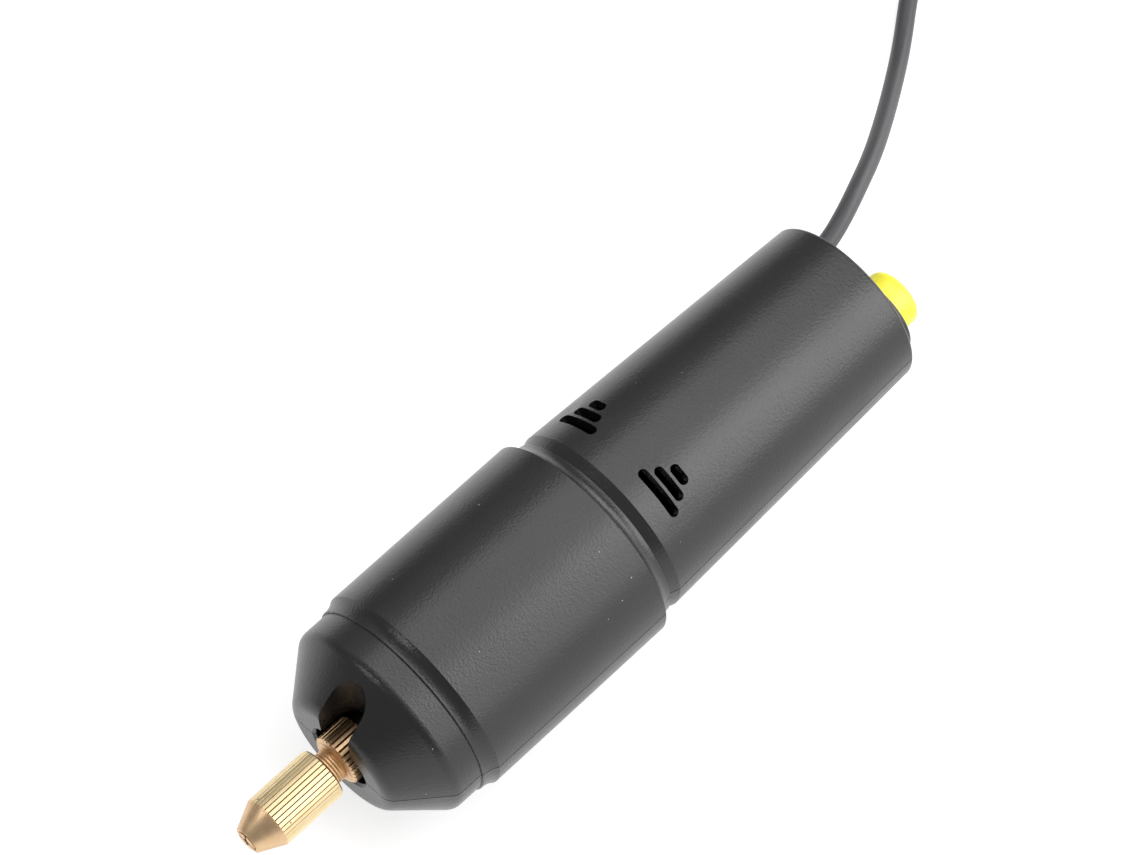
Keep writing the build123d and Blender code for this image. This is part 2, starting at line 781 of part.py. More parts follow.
# Chuck nut: knurled barrel and plain cone, with the cone seat that closes the collet
nut_r = nut_diameter / 2
nut_rear_x = collar_front_x - nut_gap
nut_knurl_x = nut_rear_x - nut_knurl_length
nut_tip_x = nut_knurl_x - nut_cone_length
nut_bore_r = nut_bore_diameter / 2
nut_mouth_r = nut_mouth_diameter / 2
nut_thread_r = neck_r + part_clearance
nut_thread_x = nut_rear_x - nut_thread_depth
seat_end_x = nut_tip_x + nut_seat_length
with BuildPart() as chuck_nut:
    with BuildSketch(tool_plane):
        with BuildLine():
            Polyline(
                (nut_rear_x, nut_thread_r),
                (nut_rear_x, nut_r - nut_rear_chamfer),
                (nut_rear_x - nut_rear_chamfer, nut_r),
                (nut_knurl_x, nut_r),
                (nut_knurl_x - nut_cone_front_step, nut_r - nut_cone_front_step),
                (nut_tip_x, nut_tip_diameter / 2),
                (nut_tip_x, nut_mouth_r),
                (seat_end_x, nut_bore_r),
                (nut_thread_x, nut_bore_r),
                (nut_thread_x, nut_thread_r),
                close=True,
            )
        make_face()
    revolve(axis=tool_axis)
    nut_grooves = knurl_grooves(nut_knurl_x - nut_cone_length / 4, nut_r, nut_teeth)
    extrude(nut_grooves, amount=nut_knurl_length + nut_cone_length, mode=Mode.SUBTRACT)
chuck_nut.part.label = "chuck_nut"
export_step(chuck_nut.part, "parts/chuck_nut.step")

# Collet: split nose in the nut's seat, waist, and a tail that slides in the neck's socket
collet_tip_x = nut_tip_x - collet_proud
collet_tip_r = nut_mouth_r - slide_clearance
collet_body_r = nut_bore_r - slide_clearance
collet_shoulder_x = seat_end_x + collet_body_length
collet_tail_r = collet_tail_diameter / 2
collet_end_x = collet_shoulder_x + collet_tail_length
collet_waist_r = collet_body_r - collet_waist_depth
collet_waist_x = seat_end_x + collet_body_length / 3
with BuildPart() as collet:
    with BuildSketch(tool_plane):
        with BuildLine():
            Polyline(
                (collet_tip_x, collet_bore / 2),
                (collet_tip_x, collet_tip_r),
                (nut_tip_x, collet_tip_r),
                (seat_end_x, collet_body_r),
                (collet_waist_x, collet_body_r),
                (collet_waist_x + collet_waist_depth, collet_waist_r),
                (collet_shoulder_x - 2 * collet_waist_depth, collet_waist_r),
                (collet_shoulder_x - collet_waist_depth, collet_body_r),
                (collet_shoulder_x, collet_body_r),
                (collet_shoulder_x, collet_tail_r),
                (collet_end_x, collet_tail_r),
                (collet_end_x, collet_bore / 2),
                close=True,
            )
        make_face()
    revolve(axis=tool_axis)
    with BuildSketch(across(collet_tip_x)):
        with PolarLocations(collet_body_r / 2 + collet_bore / 8, collet_slits):
            Rectangle(collet_body_r + overrun, collet_slit_width)
    extrude(amount=collet_slit_share * (collet_shoulder_x - collet_tip_x), mode=Mode.SUBTRACT)
collet.part.label = "collet"
export_step(collet.part, "parts/collet.step")

# Push switch body: bezel outside, threaded barrel through the rear wall, closed rear
switch_thread_r = switch_thread_diameter / 2
cap_r = cap_diameter / 2
cap_bore_r = cap_r + slide_clearance
floor_x = rim_x - switch_floor
with BuildPart() as switch_body:
    with BuildSketch(across(rim_x, -switch_offset)):
        Circle(bezel_diameter / 2)
    extrude(amount=bezel_thickness)
    fillet(switch_body.edges().group_by(Axis.X)[-1], bezel_round)
    with BuildSketch(across(rim_x, -switch_offset)):
        Circle(switch_thread_r)
    extrude(amount=-switch_thread_length)
    with BuildSketch(across(switch_front_x, -switch_offset)):
        Circle(switch_rear_diameter / 2)
    extrude(amount=-switch_rear_length)
    with BuildSketch(across(floor_x, -switch_offset)):
        Circle(cap_bore_r)
    extrude(amount=switch_floor + bezel_thickness, mode=Mode.SUBTRACT)
    with BuildSketch(across(floor_x, -switch_offset)):
        Circle(stem_diameter / 2 + slide_clearance)
    extrude(amount=-(button_travel + overrun + part_clearance), mode=Mode.SUBTRACT)
    with BuildSketch(across(switch_end_x, -switch_offset)):
        with Locations((-pin_spacing / 2, 0), (pin_spacing / 2, 0)):
            Rectangle(pin_width, terminal_thickness)
    extrude(amount=terminal_thickness * 2, mode=Mode.SUBTRACT)
switch_body.part.label = "switch_body"
export_step(switch_body.part, "parts/switch_body.step")

# Ring nut that holds the switch against the inside of the rear wall
with BuildPart() as switch_nut:
    with BuildSketch(across(rear_wall_x, -switch_offset)):
        Circle(ring_nut_r)
        Circle(switch_thread_r + part_clearance, mode=Mode.SUBTRACT)
        with PolarLocations(ring_nut_r, ring_nut_notches):
            Rectangle(ring_nut_thickness / 2, ring_nut_thickness / 2, mode=Mode.SUBTRACT)
    extrude(amount=-ring_nut_thickness)
switch_nut.part.label = "switch_nut"
export_step(switch_nut.part, "parts/switch_nut.step")

# Solder pins of the switch
with BuildPart() as switch_terminals:
    with BuildSketch(across(pin_end_x, -switch_offset)):
        with Locations((-pin_spacing / 2, 0), (pin_spacing / 2, 0)):
            Rectangle(pin_width, terminal_thickness)
    extrude(amount=pin_length + terminal_thickness * 2)
switch_terminals.part.label = "switch_terminals"
export_step(switch_terminals.part, "parts/switch_terminals.step")

# Button cap with its guide stem
cap_end_x = rim_x + cap_proud
cap_rear_x = rim_x - cap_skirt
stem_end_x = floor_x - overrun
with BuildPart() as button_cap:
    with BuildSketch(across(cap_rear_x, -switch_offset)):
        Circle(cap_r)
    extrude(amount=cap_end_x - cap_rear_x)
    fillet(button_cap.edges().group_by(Axis.X)[-1], cap_round)
    with BuildSketch(across(stem_end_x, -switch_offset)):
        Circle(stem_diameter / 2)
    extrude(amount=cap_rear_x - stem_end_x)
button_cap.part.label = "button_cap"
export_step(button_cap.part, "parts/button_cap.step")


def half_turns(points, towards):
    """Tangent half circles through points that lie on alternate sides of a winding."""
    for turn, (near, far) in enumerate(zip(points[:-1], points[1:])):
        near, far = Vector(*near), Vector(*far)
        side = towards * (-1) ** turn
        ThreePointArc(near, (near + far) / 2 + side * (far - near).length / 2, far)


def round_section(path, radius):
    """A round section square to the start of a path."""
    with BuildSketch(Plane(path @ 0, z_dir=path % 0)) as section:
        Circle(radius)
    return section.sketch


# Return spring of the button, round the stem
spring_r = spring_diameter / 2
spring_start = floor_x + spring_wire / 2
spring_run = cap_rear_x - floor_x - spring_wire
spring_points = [
    (
        spring_start + spring_run * turn / (2 * spring_turns),
        -switch_offset + spring_r * (-1) ** turn,
        axis_height,
    )
    for turn in range(2 * spring_turns + 1)
]
with BuildPart() as button_spring:
    with BuildLine() as spring_line:
        half_turns(spring_points, Vector(0, 0, 1))
    spring_path = spring_line.wires()[0]
    sweep(round_section(spring_path, spring_wire / 2), path=spring_path)
button_spring.part.label = "button_spring"
export_step(button_spring.part, "parts/button_spring.step")


def corner_radii(points, share=0.45):
    """The arc radius at each inner point: a share of the shorter run over the tangent of half the turn."""
    radii = []
    for before, point, after in zip(points[:-2], points[1:-1], points[2:]):
        run_in = Vector(*point) - Vector(*before)
        run_out = Vector(*after) - Vector(*point)
        half_turn = math.radians(run_in.get_angle(run_out)) / 2
        radii.append(share * min(run_in.length, run_out.length) / math.tan(half_turn))
    return radii


# Lead: route of the part that shows, and its coil
coil_floor = cord_r + coil_tie_thickness + part_clearance

# Where the lead leaves the rear wall, and where it enters the coil, which winds to the right
cord_exit = (rim_x, cord_side, axis_height)
coil_start = Vector(coil_start_x, coil_start_side, coil_floor)
coil_along = Vector(1, 0, 0)
coil_side = Vector(0, -1, 0)
coil_centre = coil_start + coil_side * coil_outer_radius
coil_lead_in = coil_start - coil_along * cord_diameter

# Points from the rear wall down to the ground and on to the coil
cord_route = [
    cord_exit,
    (63.7, 8.78, 18.0),
    (69.3, 10.05, 17.6),
    (76.2, 13.7, 15.7),
    (84.0, 17.5, 12.3),
    (92.0, 22.5, 8.3),
    (100.0, 27.8, 4.6),
    (108.2, 33.4, 2.0),
    (117.0, 40.0, 1.55),
    (127.0, 46.3, 1.6),
    (138.0, 50.3, 1.85),
    (149.0, 52.3, 2.2),
    tuple(coil_lead_in - coil_along * cord_last_run),
    tuple(coil_lead_in),
]
cord_radii = corner_radii(cord_route)
with BuildPart() as cord:
    with BuildLine() as cord_line:
        FilletPolyline(*cord_route, radius=cord_radii)
    cord_path = cord_line.wires()[0]
    sweep(round_section(cord_path, cord_r), path=cord_path)
cord.part.label = "cord"
export_step(cord.part, "parts/cord.step")
cord_length = cord_path.length
print("cord corner radii", [round(radius, 1) for radius in cord_radii])
print("cord volume over section times length", round(cord.part.volume / (math.pi * cord_r**2 * cord_length), 4))

# Coil: in along the ground, up a layer in the half turn where the spiral reverses, out again on top
coil_inner_radius = coil_outer_radius - coil_inward_half_turns * coil_pitch / 2
coil_radii = [coil_outer_radius - turn * coil_pitch / 2 for turn in range(coil_inward_half_turns + 1)]
coil_radii += [coil_inner_radius + turn * coil_pitch / 2 for turn in range(coil_outward_half_turns + 1)]
coil_heights = [0.0] * (coil_inward_half_turns + 1) + [coil_pitch] * (coil_outward_half_turns + 1)
coil_points = [
    tuple(coil_centre - coil_side * radius * (-1) ** turn + Vector(0, 0, height))
    for turn, (radius, height) in enumerate(zip(coil_radii, coil_heights))
]
coil_last_radius = coil_radii[-1] + coil_pitch / 2
coil_end_along = coil_along.rotate(Axis.Z, -coil_end_turn)
with BuildPart() as cord_coil:
    with BuildLine() as coil_line:
        Line(coil_lead_in, coil_points[0])
        half_turns(coil_points, coil_along)
        last_arc = JernArc(coil_points[-1], coil_along, coil_last_radius, -coil_end_turn)
        coil_end = last_arc @ 1
        Line(coil_end, coil_end + coil_end_along * cord_diameter)
    coil_path = coil_line.wires()[0]
    sweep(round_section(coil_path, cord_r), path=coil_path)
cord_coil.part.label = "cord_coil"
export_step(cord_coil.part, "parts/cord_coil.step")
coil_length = coil_path.length
print("coil volume over section times length", round(cord_coil.part.volume / (math.pi * cord_r**2 * coil_length), 4))


def least_gap(path, diameter, step=1.0):
    """The least gap of a wound tube to itself, measured on points along its line."""
    count = int(path.length / step)
    points = [path.position_at(index / count) for index in range(count + 1)]
    apart = int(math.pi * diameter / step)
    least = path.length
    for index, point in enumerate(points):
        for other in points[index + apart:]:
            least = min(least, (point - other).length)
    return least - diameter


print("coil least gap to itself", round(least_gap(coil_path, cord_diameter), 3))

# Tie round the coil, on the side away from its two ends
tie_inner = coil_inner_radius - cord_r - cord_r / 2
tie_outer = coil_radii[1] + cord_r + coil_tie_ease
tie_top = coil_floor + coil_pitch + cord_r + part_clearance
tie_plane = Plane(
    coil_centre + coil_along * coil_tie_width / 2 - Vector(0, 0, coil_floor),
    x_dir=coil_side,
    z_dir=-coil_along,
)
with BuildPart() as coil_tie:
    with BuildSketch(tie_plane):
        with Locations(((tie_inner + tie_outer) / 2, (coil_tie_thickness + tie_top) / 2)):
            RectangleRounded(
                tie_outer - tie_inner + 2 * coil_tie_thickness,
                tie_top + coil_tie_thickness,
                cord_r + coil_tie_thickness,
            )
            RectangleRounded(tie_outer - tie_inner, tie_top - coil_tie_thickness, cord_r, mode=Mode.SUBTRACT)
    extrude(amount=coil_tie_width)
coil_tie.part.label = "coil_tie"
export_step(coil_tie.part, "parts/coil_tie.step")

# Short tail from the coil down to the plug
plug_height = plug_grip_height / 2
tail_start = coil_end + coil_end_along * cord_diameter
tail_route = [
    tuple(tail_start),
    tuple(tail_start + coil_end_along * tail_run),
    (198.1, 34.2, 5.3),
    (201.2, 24.7, plug_height),
    (201.2, 18.7, plug_height),
]
tail_radii = corner_radii(tail_route)
with BuildPart() as cord_tail:
    with BuildLine() as tail_line:
        FilletPolyline(*tail_route, radius=tail_radii)
    tail_path = tail_line.wires()[0]
    sweep(round_section(tail_path, cord_r), path=tail_path)
cord_tail.part.label = "cord_tail"
export_step(cord_tail.part, "parts/cord_tail.step")
print("tail corner radii", [round(radius, 1) for radius in tail_radii])
print("lead outside the body, exit to plug", round(cord_length + coil_length + tail_path.length, 1))

# Plug grip: ribbed boot where the lead enters, flat moulded grip
plug_start = Vector(*tail_route[-1])
plug_along = (plug_start - Vector(*tail_route[-2])).normalized()


def plug_plane(reach):
    """A plane square to the plug at a distance from its cord end, its local Y upwards."""
    sideways = Vector(0, 0, 1).cross(plug_along)
    return Plane(plug_start + plug_along * reach, x_dir=sideways, z_dir=plug_along)


with BuildPart() as plug_grip:
    with BuildSketch(plug_plane(0)):
        Circle(plug_boot_diameter / 2 - plug_boot_rib_depth)
    extrude(amount=plug_boot_length)
    for rib in range(plug_boot_ribs):
        with BuildSketch(plug_plane((rib + 0.25) * plug_boot_length / plug_boot_ribs)):
            Circle(plug_boot_diameter / 2)
        extrude(amount=plug_boot_length / plug_boot_ribs / 2)
    with BuildSketch(plug_plane(plug_boot_length)):
        RectangleRounded(plug_boot_diameter + plug_grip_round, plug_boot_diameter, plug_grip_round)
    with BuildSketch(plug_plane(plug_boot_length + plug_shoulder_length)):
        RectangleRounded(plug_grip_width, plug_grip_height, plug_grip_round)
    loft()
    with BuildSketch(plug_plane(plug_boot_length + plug_shoulder_length)):
        RectangleRounded(plug_grip_width, plug_grip_height, plug_grip_round)
    extrude(amount=plug_grip_length - plug_shoulder_length)
plug_grip.part.label = "plug_grip"
export_step(plug_grip.part, "parts/plug_grip.step")

# Plug shell, tongue and contacts
plug_mouth = plug_boot_length + plug_grip_length
with BuildPart() as plug_shell:
    with BuildSketch(plug_plane(plug_mouth)):
        RectangleRounded(plug_shell_width, plug_shell_height, plug_shell_wall * 2)
    extrude(amount=plug_shell_length)
    with BuildSketch(plug_plane(plug_mouth + plug_shell_wall)):
        Rectangle(plug_shell_width - 2 * plug_shell_wall, plug_shell_height - 2 * plug_shell_wall)
    extrude(amount=plug_shell_length, mode=Mode.SUBTRACT)
    for side in (-1, 1):
        with BuildSketch(plug_plane(plug_mouth + plug_window_setback)):
            with Locations((side * plug_window_spacing / 2, 0)):
                Rectangle(plug_window, plug_shell_height + overrun)
        extrude(amount=plug_window, mode=Mode.SUBTRACT)
plug_shell.part.label = "plug_shell"
export_step(plug_shell.part, "parts/plug_shell.step")

tongue_base = -plug_shell_height / 2 + plug_shell_wall
with BuildPart() as plug_tongue:
    with BuildSketch(plug_plane(plug_mouth + plug_shell_wall)):
        with Locations((0, tongue_base + plug_tongue_thickness / 2)):
            Rectangle(plug_shell_width - 2 * plug_shell_wall, plug_tongue_thickness)
    extrude(amount=plug_tongue_length)
plug_tongue.part.label = "plug_tongue"
export_step(plug_tongue.part, "parts/plug_tongue.step")

with BuildPart() as plug_contacts:
    with BuildSketch(plug_plane(plug_mouth + plug_shell_wall)):
        with Locations((0, tongue_base + plug_tongue_thickness + contact_thickness / 2)):
            with GridLocations(contact_pitch, 0, 4, 1):
                Rectangle(contact_width, contact_thickness)
    extrude(amount=contact_length)
plug_contacts.part.label = "plug_contacts"
export_step(plug_contacts.part, "parts/plug_contacts.step")

# Lead inside the body, and the nylon tie that stops it against the rear wall
entry_x = rim_x - cord_inside
with BuildPart() as cord_entry:
    with BuildSketch(across(entry_x)):
        with Locations((cord_side, 0)):
            Circle(cord_r)
    extrude(amount=cord_inside)
cord_entry.part.label = "cord_entry"
export_step(cord_entry.part, "parts/cord_entry.step")

with BuildPart() as cord_stop_tie:
    with BuildSketch(across(rear_wall_x)):
        with Locations((cord_side, 0)):
            Circle(stop_tie_r)
        with Locations((cord_side, -stop_tie_r)):
            Rectangle(stop_tie_head, stop_tie_head / 2)
        with Locations((cord_side, 0)):
            Circle(cord_r + running_clearance, mode=Mode.SUBTRACT)
    extrude(amount=-stop_tie_width)
cord_stop_tie.part.label = "cord_stop_tie"
export_step(cord_stop_tie.part, "parts/cord_stop_tie.step")


# Wires inside the handle, each along its own route of points from the tool axis
def wire_route(*points):
    """Points of a wire, given as x, side and height from the tool axis."""
    return [(x, side, axis_height + height) for x, side, height in points]


wire_r = wire_diameter / 2
wire_height = cord_r / 2
post_side = screw_side - screw_post_diameter / 2 - wire_diameter
supply_pin_side = pin_spacing / 2 - switch_offset
motor_pin_side = -pin_spacing / 2 - switch_offset
behind_posts = screw_handle_x - screw_post_diameter
ahead_of_posts = screw_handle_x + screw_post_diameter
supply_route = wire_route(
    (entry_x, cord_side, wire_height),
    (entry_x - pin_length, cord_side, wire_height),
    (pin_end_x, cord_side - wire_diameter, 2 * wire_height),
    (pin_end_x - pin_length, supply_pin_side + pin_width, 2 * wire_height),
    (pin_end_x - pin_length, supply_pin_side, wire_height),
    (pin_end_x - pin_length / 2, supply_pin_side, 0),
    (pin_end_x, supply_pin_side, 0),
)
switch_route = wire_route(
    (pin_end_x, motor_pin_side, 0),
    (pin_end_x - pin_length / 2, motor_pin_side, 0),
    (ahead_of_posts, -post_side, 0),
    (behind_posts, -post_side, 0),
    (terminal_end_x + pin_length / 2, -terminal_offset, 0),
    (terminal_end_x, -terminal_offset, 0),
)
return_route = wire_route(
    (entry_x, cord_side, -wire_height),
    (entry_x - pin_length, cord_side, -wire_height),
    (ahead_of_posts, post_side, -wire_height),
    (behind_posts, post_side, 0),
    (terminal_end_x + pin_length / 2, terminal_offset, 0),
    (terminal_end_x, terminal_offset, 0),
)
for name, route in (
    ("supply_wire", supply_route),
    ("switch_wire", switch_route),
    ("return_wire", return_route),
):
    with BuildPart() as wire:
        with BuildLine() as wire_line:
            FilletPolyline(*route, radius=corner_radii(route))
        wire_path = wire_line.wires()[0]
        sweep(round_section(wire_path, wire_r), path=wire_path)
    wire.part.label = name
    export_step(wire.part, f"parts/{name}.step")
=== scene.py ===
import math

import bmesh
import bpy
from mathutils import Matrix, Quaternion, Vector


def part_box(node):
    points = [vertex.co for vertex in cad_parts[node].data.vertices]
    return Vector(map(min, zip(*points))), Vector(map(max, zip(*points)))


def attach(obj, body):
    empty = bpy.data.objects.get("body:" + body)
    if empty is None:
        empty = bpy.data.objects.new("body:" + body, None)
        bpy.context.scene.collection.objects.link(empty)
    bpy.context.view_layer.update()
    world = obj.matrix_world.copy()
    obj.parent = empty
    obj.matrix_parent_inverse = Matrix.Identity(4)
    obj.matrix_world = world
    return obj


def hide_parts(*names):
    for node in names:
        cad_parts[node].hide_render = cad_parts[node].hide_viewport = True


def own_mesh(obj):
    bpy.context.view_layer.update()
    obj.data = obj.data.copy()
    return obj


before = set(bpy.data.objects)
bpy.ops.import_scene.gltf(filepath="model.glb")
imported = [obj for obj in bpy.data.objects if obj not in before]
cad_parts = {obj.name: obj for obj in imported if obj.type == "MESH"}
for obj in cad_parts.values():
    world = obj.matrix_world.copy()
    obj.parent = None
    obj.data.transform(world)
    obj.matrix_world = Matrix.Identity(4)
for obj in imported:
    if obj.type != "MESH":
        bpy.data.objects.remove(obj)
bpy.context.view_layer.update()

# Camera: a long lens above the chuck end, looking down along the drill,
# turned a little about its own axis, as the photograph was taken.
MM = 0.001
camera_place = Vector((-190.6, -236.8, 585.7)) * MM
camera_target = Vector((14.6, 14.9, 18.0)) * MM
camera_roll = math.radians(-6.4)
camera_data = bpy.data.cameras.new("camera")
camera_data.sensor_width = 36.0
camera_data.lens = 136.05
camera_data.clip_start = 10 * MM
camera = bpy.data.objects.new("camera", camera_data)
bpy.context.scene.collection.objects.link(camera)
camera.location = camera_place
camera.rotation_mode = "QUATERNION"
looking = (camera_target - camera_place).to_track_quat("-Z", "Y")
camera.rotation_quaternion = looking @ Quaternion((0, 0, 1), camera_roll)
bpy.context.scene.camera = camera


# Body shells: two halves moulded in black ABS that meet along the parting line and are screwed from below.
# The mould is spark-eroded, which leaves a fine even grain and a satin surface that picks up dust.
def linear(hex_colour):
    """A node's RGBA for an sRGB hex colour."""
    channels = [int(hex_colour[place:place + 2], 16) / 255 for place in (0, 2, 4)]
    return [c / 12.92 if c <= 0.04045 else ((c + 0.055) / 1.055) ** 2.4 for c in channels] + [1.0]


def add_node(tree, kind, inputs, **settings):
    """
    Adds a node. Inputs are values or other nodes' outputs, by socket name or place; settings are the node's own.
    A Mix node takes its factor at place 0 and its two colours at 6 and 7, because their names aren't unique.
    """
    node = tree.nodes.new(kind)
    for name, value in settings.items():
        setattr(node, name, value)
    for name, value in inputs.items():
        if isinstance(value, bpy.types.NodeSocket):
            tree.links.new(value, node.inputs[name])
        else:
            node.inputs[name].default_value = value
    return node


def new_material(name, **surface):
    """A material with one Principled surface: itself, its tree, its surface node and its Object coordinates."""
    material = bpy.data.materials.new(name)
    material.use_nodes = True
    tree = material.node_tree
    shader = tree.nodes["Principled BSDF"]
    for socket, value in surface.items():
        shader.inputs[socket.replace("_", " ")].default_value = value
    place = add_node(tree, "ShaderNodeTexCoord", {}).outputs["Object"]
    return material, tree, shader, place


def finish_surface(tree, shader, colour, height, depth):
    """Links a pattern's colour to the surface, and its height as relief of a depth in metres."""
    tree.links.new(colour, shader.inputs["Base Color"])
    relief = add_node(tree, "ShaderNodeBump", {"Height": height, "Distance": depth, "Strength": 1.0})
    tree.links.new(relief.outputs["Normal"], shader.inputs["Normal"])


def dress(material, *names):
    """Gives CAD nodes this material in place of the frame's plain one."""
    for name in names:
        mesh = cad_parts[name].data
        mesh.materials.clear()
        mesh.materials.append(material)


mould_grain = 0.4 * MM
flow_cloud = 12 * MM
dust_spacing = 4 * MM
dust_radius = 0.026 * dust_spacing
abs_black, tree, shader, place = new_material("moulded_black_abs", IOR=1.52)
clouds = add_node(tree, "ShaderNodeTexNoise", {"Vector": place, "Scale": 1 / flow_cloud, "Detail": 4.0})
satin = add_node(tree, "ShaderNodeMapRange", {"Value": clouds.outputs["Fac"], "From Min": 0.3, "From Max": 0.7,
                                              "To Min": 0.25, "To Max": 0.32})
tree.links.new(satin.outputs["Result"], shader.inputs["Roughness"])
tone = add_node(tree, "ShaderNodeMix", {0: clouds.outputs["Fac"], 6: linear("171719"), 7: linear("1F1F21")},
                data_type="RGBA")
dust = add_node(tree, "ShaderNodeTexVoronoi", {"Vector": place, "Scale": 1 / dust_spacing})
speck = add_node(tree, "ShaderNodeMath", {0: dust.outputs["Distance"], 1: dust_radius / dust_spacing},
                 operation="LESS_THAN")
dusty = add_node(tree, "ShaderNodeMix", {0: speck.outputs[0], 6: tone.outputs[2], 7: linear("A4A4A6")},
                 data_type="RGBA")
grain = add_node(tree, "ShaderNodeTexNoise", {"Vector": place, "Scale": 1 / mould_grain, "Detail": 4.0})
finish_surface(tree, shader, dusty.outputs[2], grain.outputs["Fac"], depth=0.05 * MM)
dress(abs_black, "top_shell", "bottom_shell")

# Housing screws: four self-tapping screws with a blackened finish, driven up through the bottom shell.
# The oxide is nearly matt, and steel shows through it in small patches.
oxide_patch = 0.8 * MM
black_steel, tree, shader, place = new_material("blackened_steel", Metallic=0.7, Roughness=0.42)
oxide = add_node(tree, "ShaderNodeTexNoise", {"Vector": place, "Scale": 1 / oxide_patch, "Detail": 4.0})
tone = add_node(tree, "ShaderNodeMix", {0: oxide.outputs["Fac"], 6: linear("1C1D20"), 7: linear("4A4C50")},
                data_type="RGBA")
finish_surface(tree, shader, tone.outputs[2], oxide.outputs["Fac"], depth=0.01 * MM)
dress(black_steel, "housing_screws")

# Motor: a drawn can of zinc-plated steel that holds two ferrite magnets and a front bush,
# closed by a nylon end cap with the rear bush, two carbon brushes, their springs and two terminals.
# Zinc plating is a cool silver with faint crystals, clouded where it was handled.
zinc_crystal = 1.5 * MM
zinc_haze = 4 * MM
zinc, tree, shader, place = new_material("zinc_plated_steel", Metallic=1.0)
spangle = add_node(tree, "ShaderNodeTexVoronoi", {"Vector": place, "Scale": 1 / zinc_crystal})
haze = add_node(tree, "ShaderNodeTexNoise", {"Vector": place, "Scale": 1 / zinc_haze, "Detail": 3.0})
dull = add_node(tree, "ShaderNodeMapRange", {"Value": haze.outputs["Fac"], "To Min": 0.26, "To Max": 0.44})
tree.links.new(dull.outputs["Result"], shader.inputs["Roughness"])
tone = add_node(tree, "ShaderNodeMix", {0: spangle.outputs["Distance"], 6: linear("A4A8AC"), 7: linear("BCC0C3")},
                data_type="RGBA")
finish_surface(tree, shader, tone.outputs[2], haze.outputs["Fac"], depth=0.01 * MM)
dress(zinc, "motor_can")

# Ferrite is pressed and fired: a dark grey stone-like body with open grain
ferrite_grain = 0.25 * MM
ferrite, tree, shader, place = new_material("sintered_ferrite", Roughness=0.7)
pores = add_node(tree, "ShaderNodeTexNoise", {"Vector": place, "Scale": 1 / ferrite_grain, "Detail": 4.0})
tone = add_node(tree, "ShaderNodeMix", {0: pores.outputs["Fac"], 6: linear("2A2B2E"), 7: linear("48494D")},
                data_type="RGBA")
finish_surface(tree, shader, tone.outputs[2], pores.outputs["Fac"], depth=0.02 * MM)
dress(ferrite, "motor_magnets")

# Sintered bronze keeps its oil in small pores, which speckle it
pore_spacing = 0.3 * MM
bronze, tree, shader, place = new_material("sintered_bronze", Metallic=1.0, Roughness=0.45)
pores = add_node(tree, "ShaderNodeTexVoronoi", {"Vector": place, "Scale": 1 / pore_spacing})
tone = add_node(tree, "ShaderNodeMix", {0: pores.outputs["Distance"], 6: linear("6E4A2A"), 7: linear("B98A58")},
                data_type="RGBA")
finish_surface(tree, shader, tone.outputs[2], pores.outputs["Distance"], depth=0.02 * MM)
dress(bronze, "front_bush", "rear_bush")

# Natural nylon: milky, slightly cloudy where it flowed into the mould
nylon_flow = 5 * MM
nylon, tree, shader, place = new_material("natural_nylon", Roughness=0.48, Subsurface_Weight=0.1)
flow = add_node(tree, "ShaderNodeTexNoise", {"Vector": place, "Scale": 1 / nylon_flow, "Detail": 2.0,
                                             "Distortion": 1.2})
tone = add_node(tree, "ShaderNodeMix", {0: flow.outputs["Fac"], 6: linear("D9D3C4"), 7: linear("ECE8DD")},
                data_type="RGBA")
finish_surface(tree, shader, tone.outputs[2], flow.outputs["Fac"], depth=0.02 * MM)
dress(nylon, "motor_end_cap")

# Brushes of pressed graphite leave a soft grey shine where they rub
graphite_flake = 0.2 * MM
graphite, tree, shader, place = new_material("pressed_graphite", Metallic=0.3, Roughness=0.5)
flakes = add_node(tree, "ShaderNodeTexNoise", {"Vector": place, "Scale": 1 / graphite_flake, "Detail": 3.0})
tone = add_node(tree, "ShaderNodeMix", {0: flakes.outputs["Fac"], 6: linear("202124"), 7: linear("3C3D41")},
                data_type="RGBA")
finish_surface(tree, shader, tone.outputs[2], flakes.outputs["Fac"], depth=0.01 * MM)
dress(graphite, "brushes")

# Springs and terminals stamped from brass strip, with rolling lines along the drill
rolling_line = 0.2 * MM
strip_brass, tree, shader, place = new_material("stamped_brass_strip", Metallic=1.0, Roughness=0.32)
rolled = add_node(tree, "ShaderNodeMapping", {"Vector": place, "Scale": (0.05, 1.0, 1.0)})
lines = add_node(tree, "ShaderNodeTexNoise", {"Vector": rolled.outputs["Vector"], "Scale": 1 / rolling_line,
                                              "Detail": 2.0})
tone = add_node(tree, "ShaderNodeMix", {0: lines.outputs["Fac"], 6: linear("C49A54"), 7: linear("E2C07E")},
                data_type="RGBA")
finish_surface(tree, shader, tone.outputs[2], lines.outputs["Fac"], depth=0.006 * MM)
dress(strip_brass, "motor_terminals", "brush_springs")

# Rotor: a ground steel shaft carries the core, stacked from half-millimetre steel laminations,
# the enamelled copper windings on its five poles, and the copper commutator that the brushes touch.
# The shaft is bright, with fine rings round it from the grinding wheel.
axis_height = 18.0 * MM
grinding_line = 0.1 * MM
ground_steel, tree, shader, place = new_material("ground_steel", Metallic=1.0, Roughness=0.22)
grinding = add_node(tree, "ShaderNodeMapping", {"Vector": place, "Scale": (1.0, 0.02, 0.02)})
scratches = add_node(tree, "ShaderNodeTexNoise", {"Vector": grinding.outputs["Vector"],
                                                  "Scale": 1 / grinding_line})
tone = add_node(tree, "ShaderNodeMix", {0: scratches.outputs["Fac"], 6: linear("B4B6B8"), 7: linear("CFD1D3")},
                data_type="RGBA")
finish_surface(tree, shader, tone.outputs[2], scratches.outputs["Fac"], depth=0.004 * MM)
dress(ground_steel, "motor_shaft")

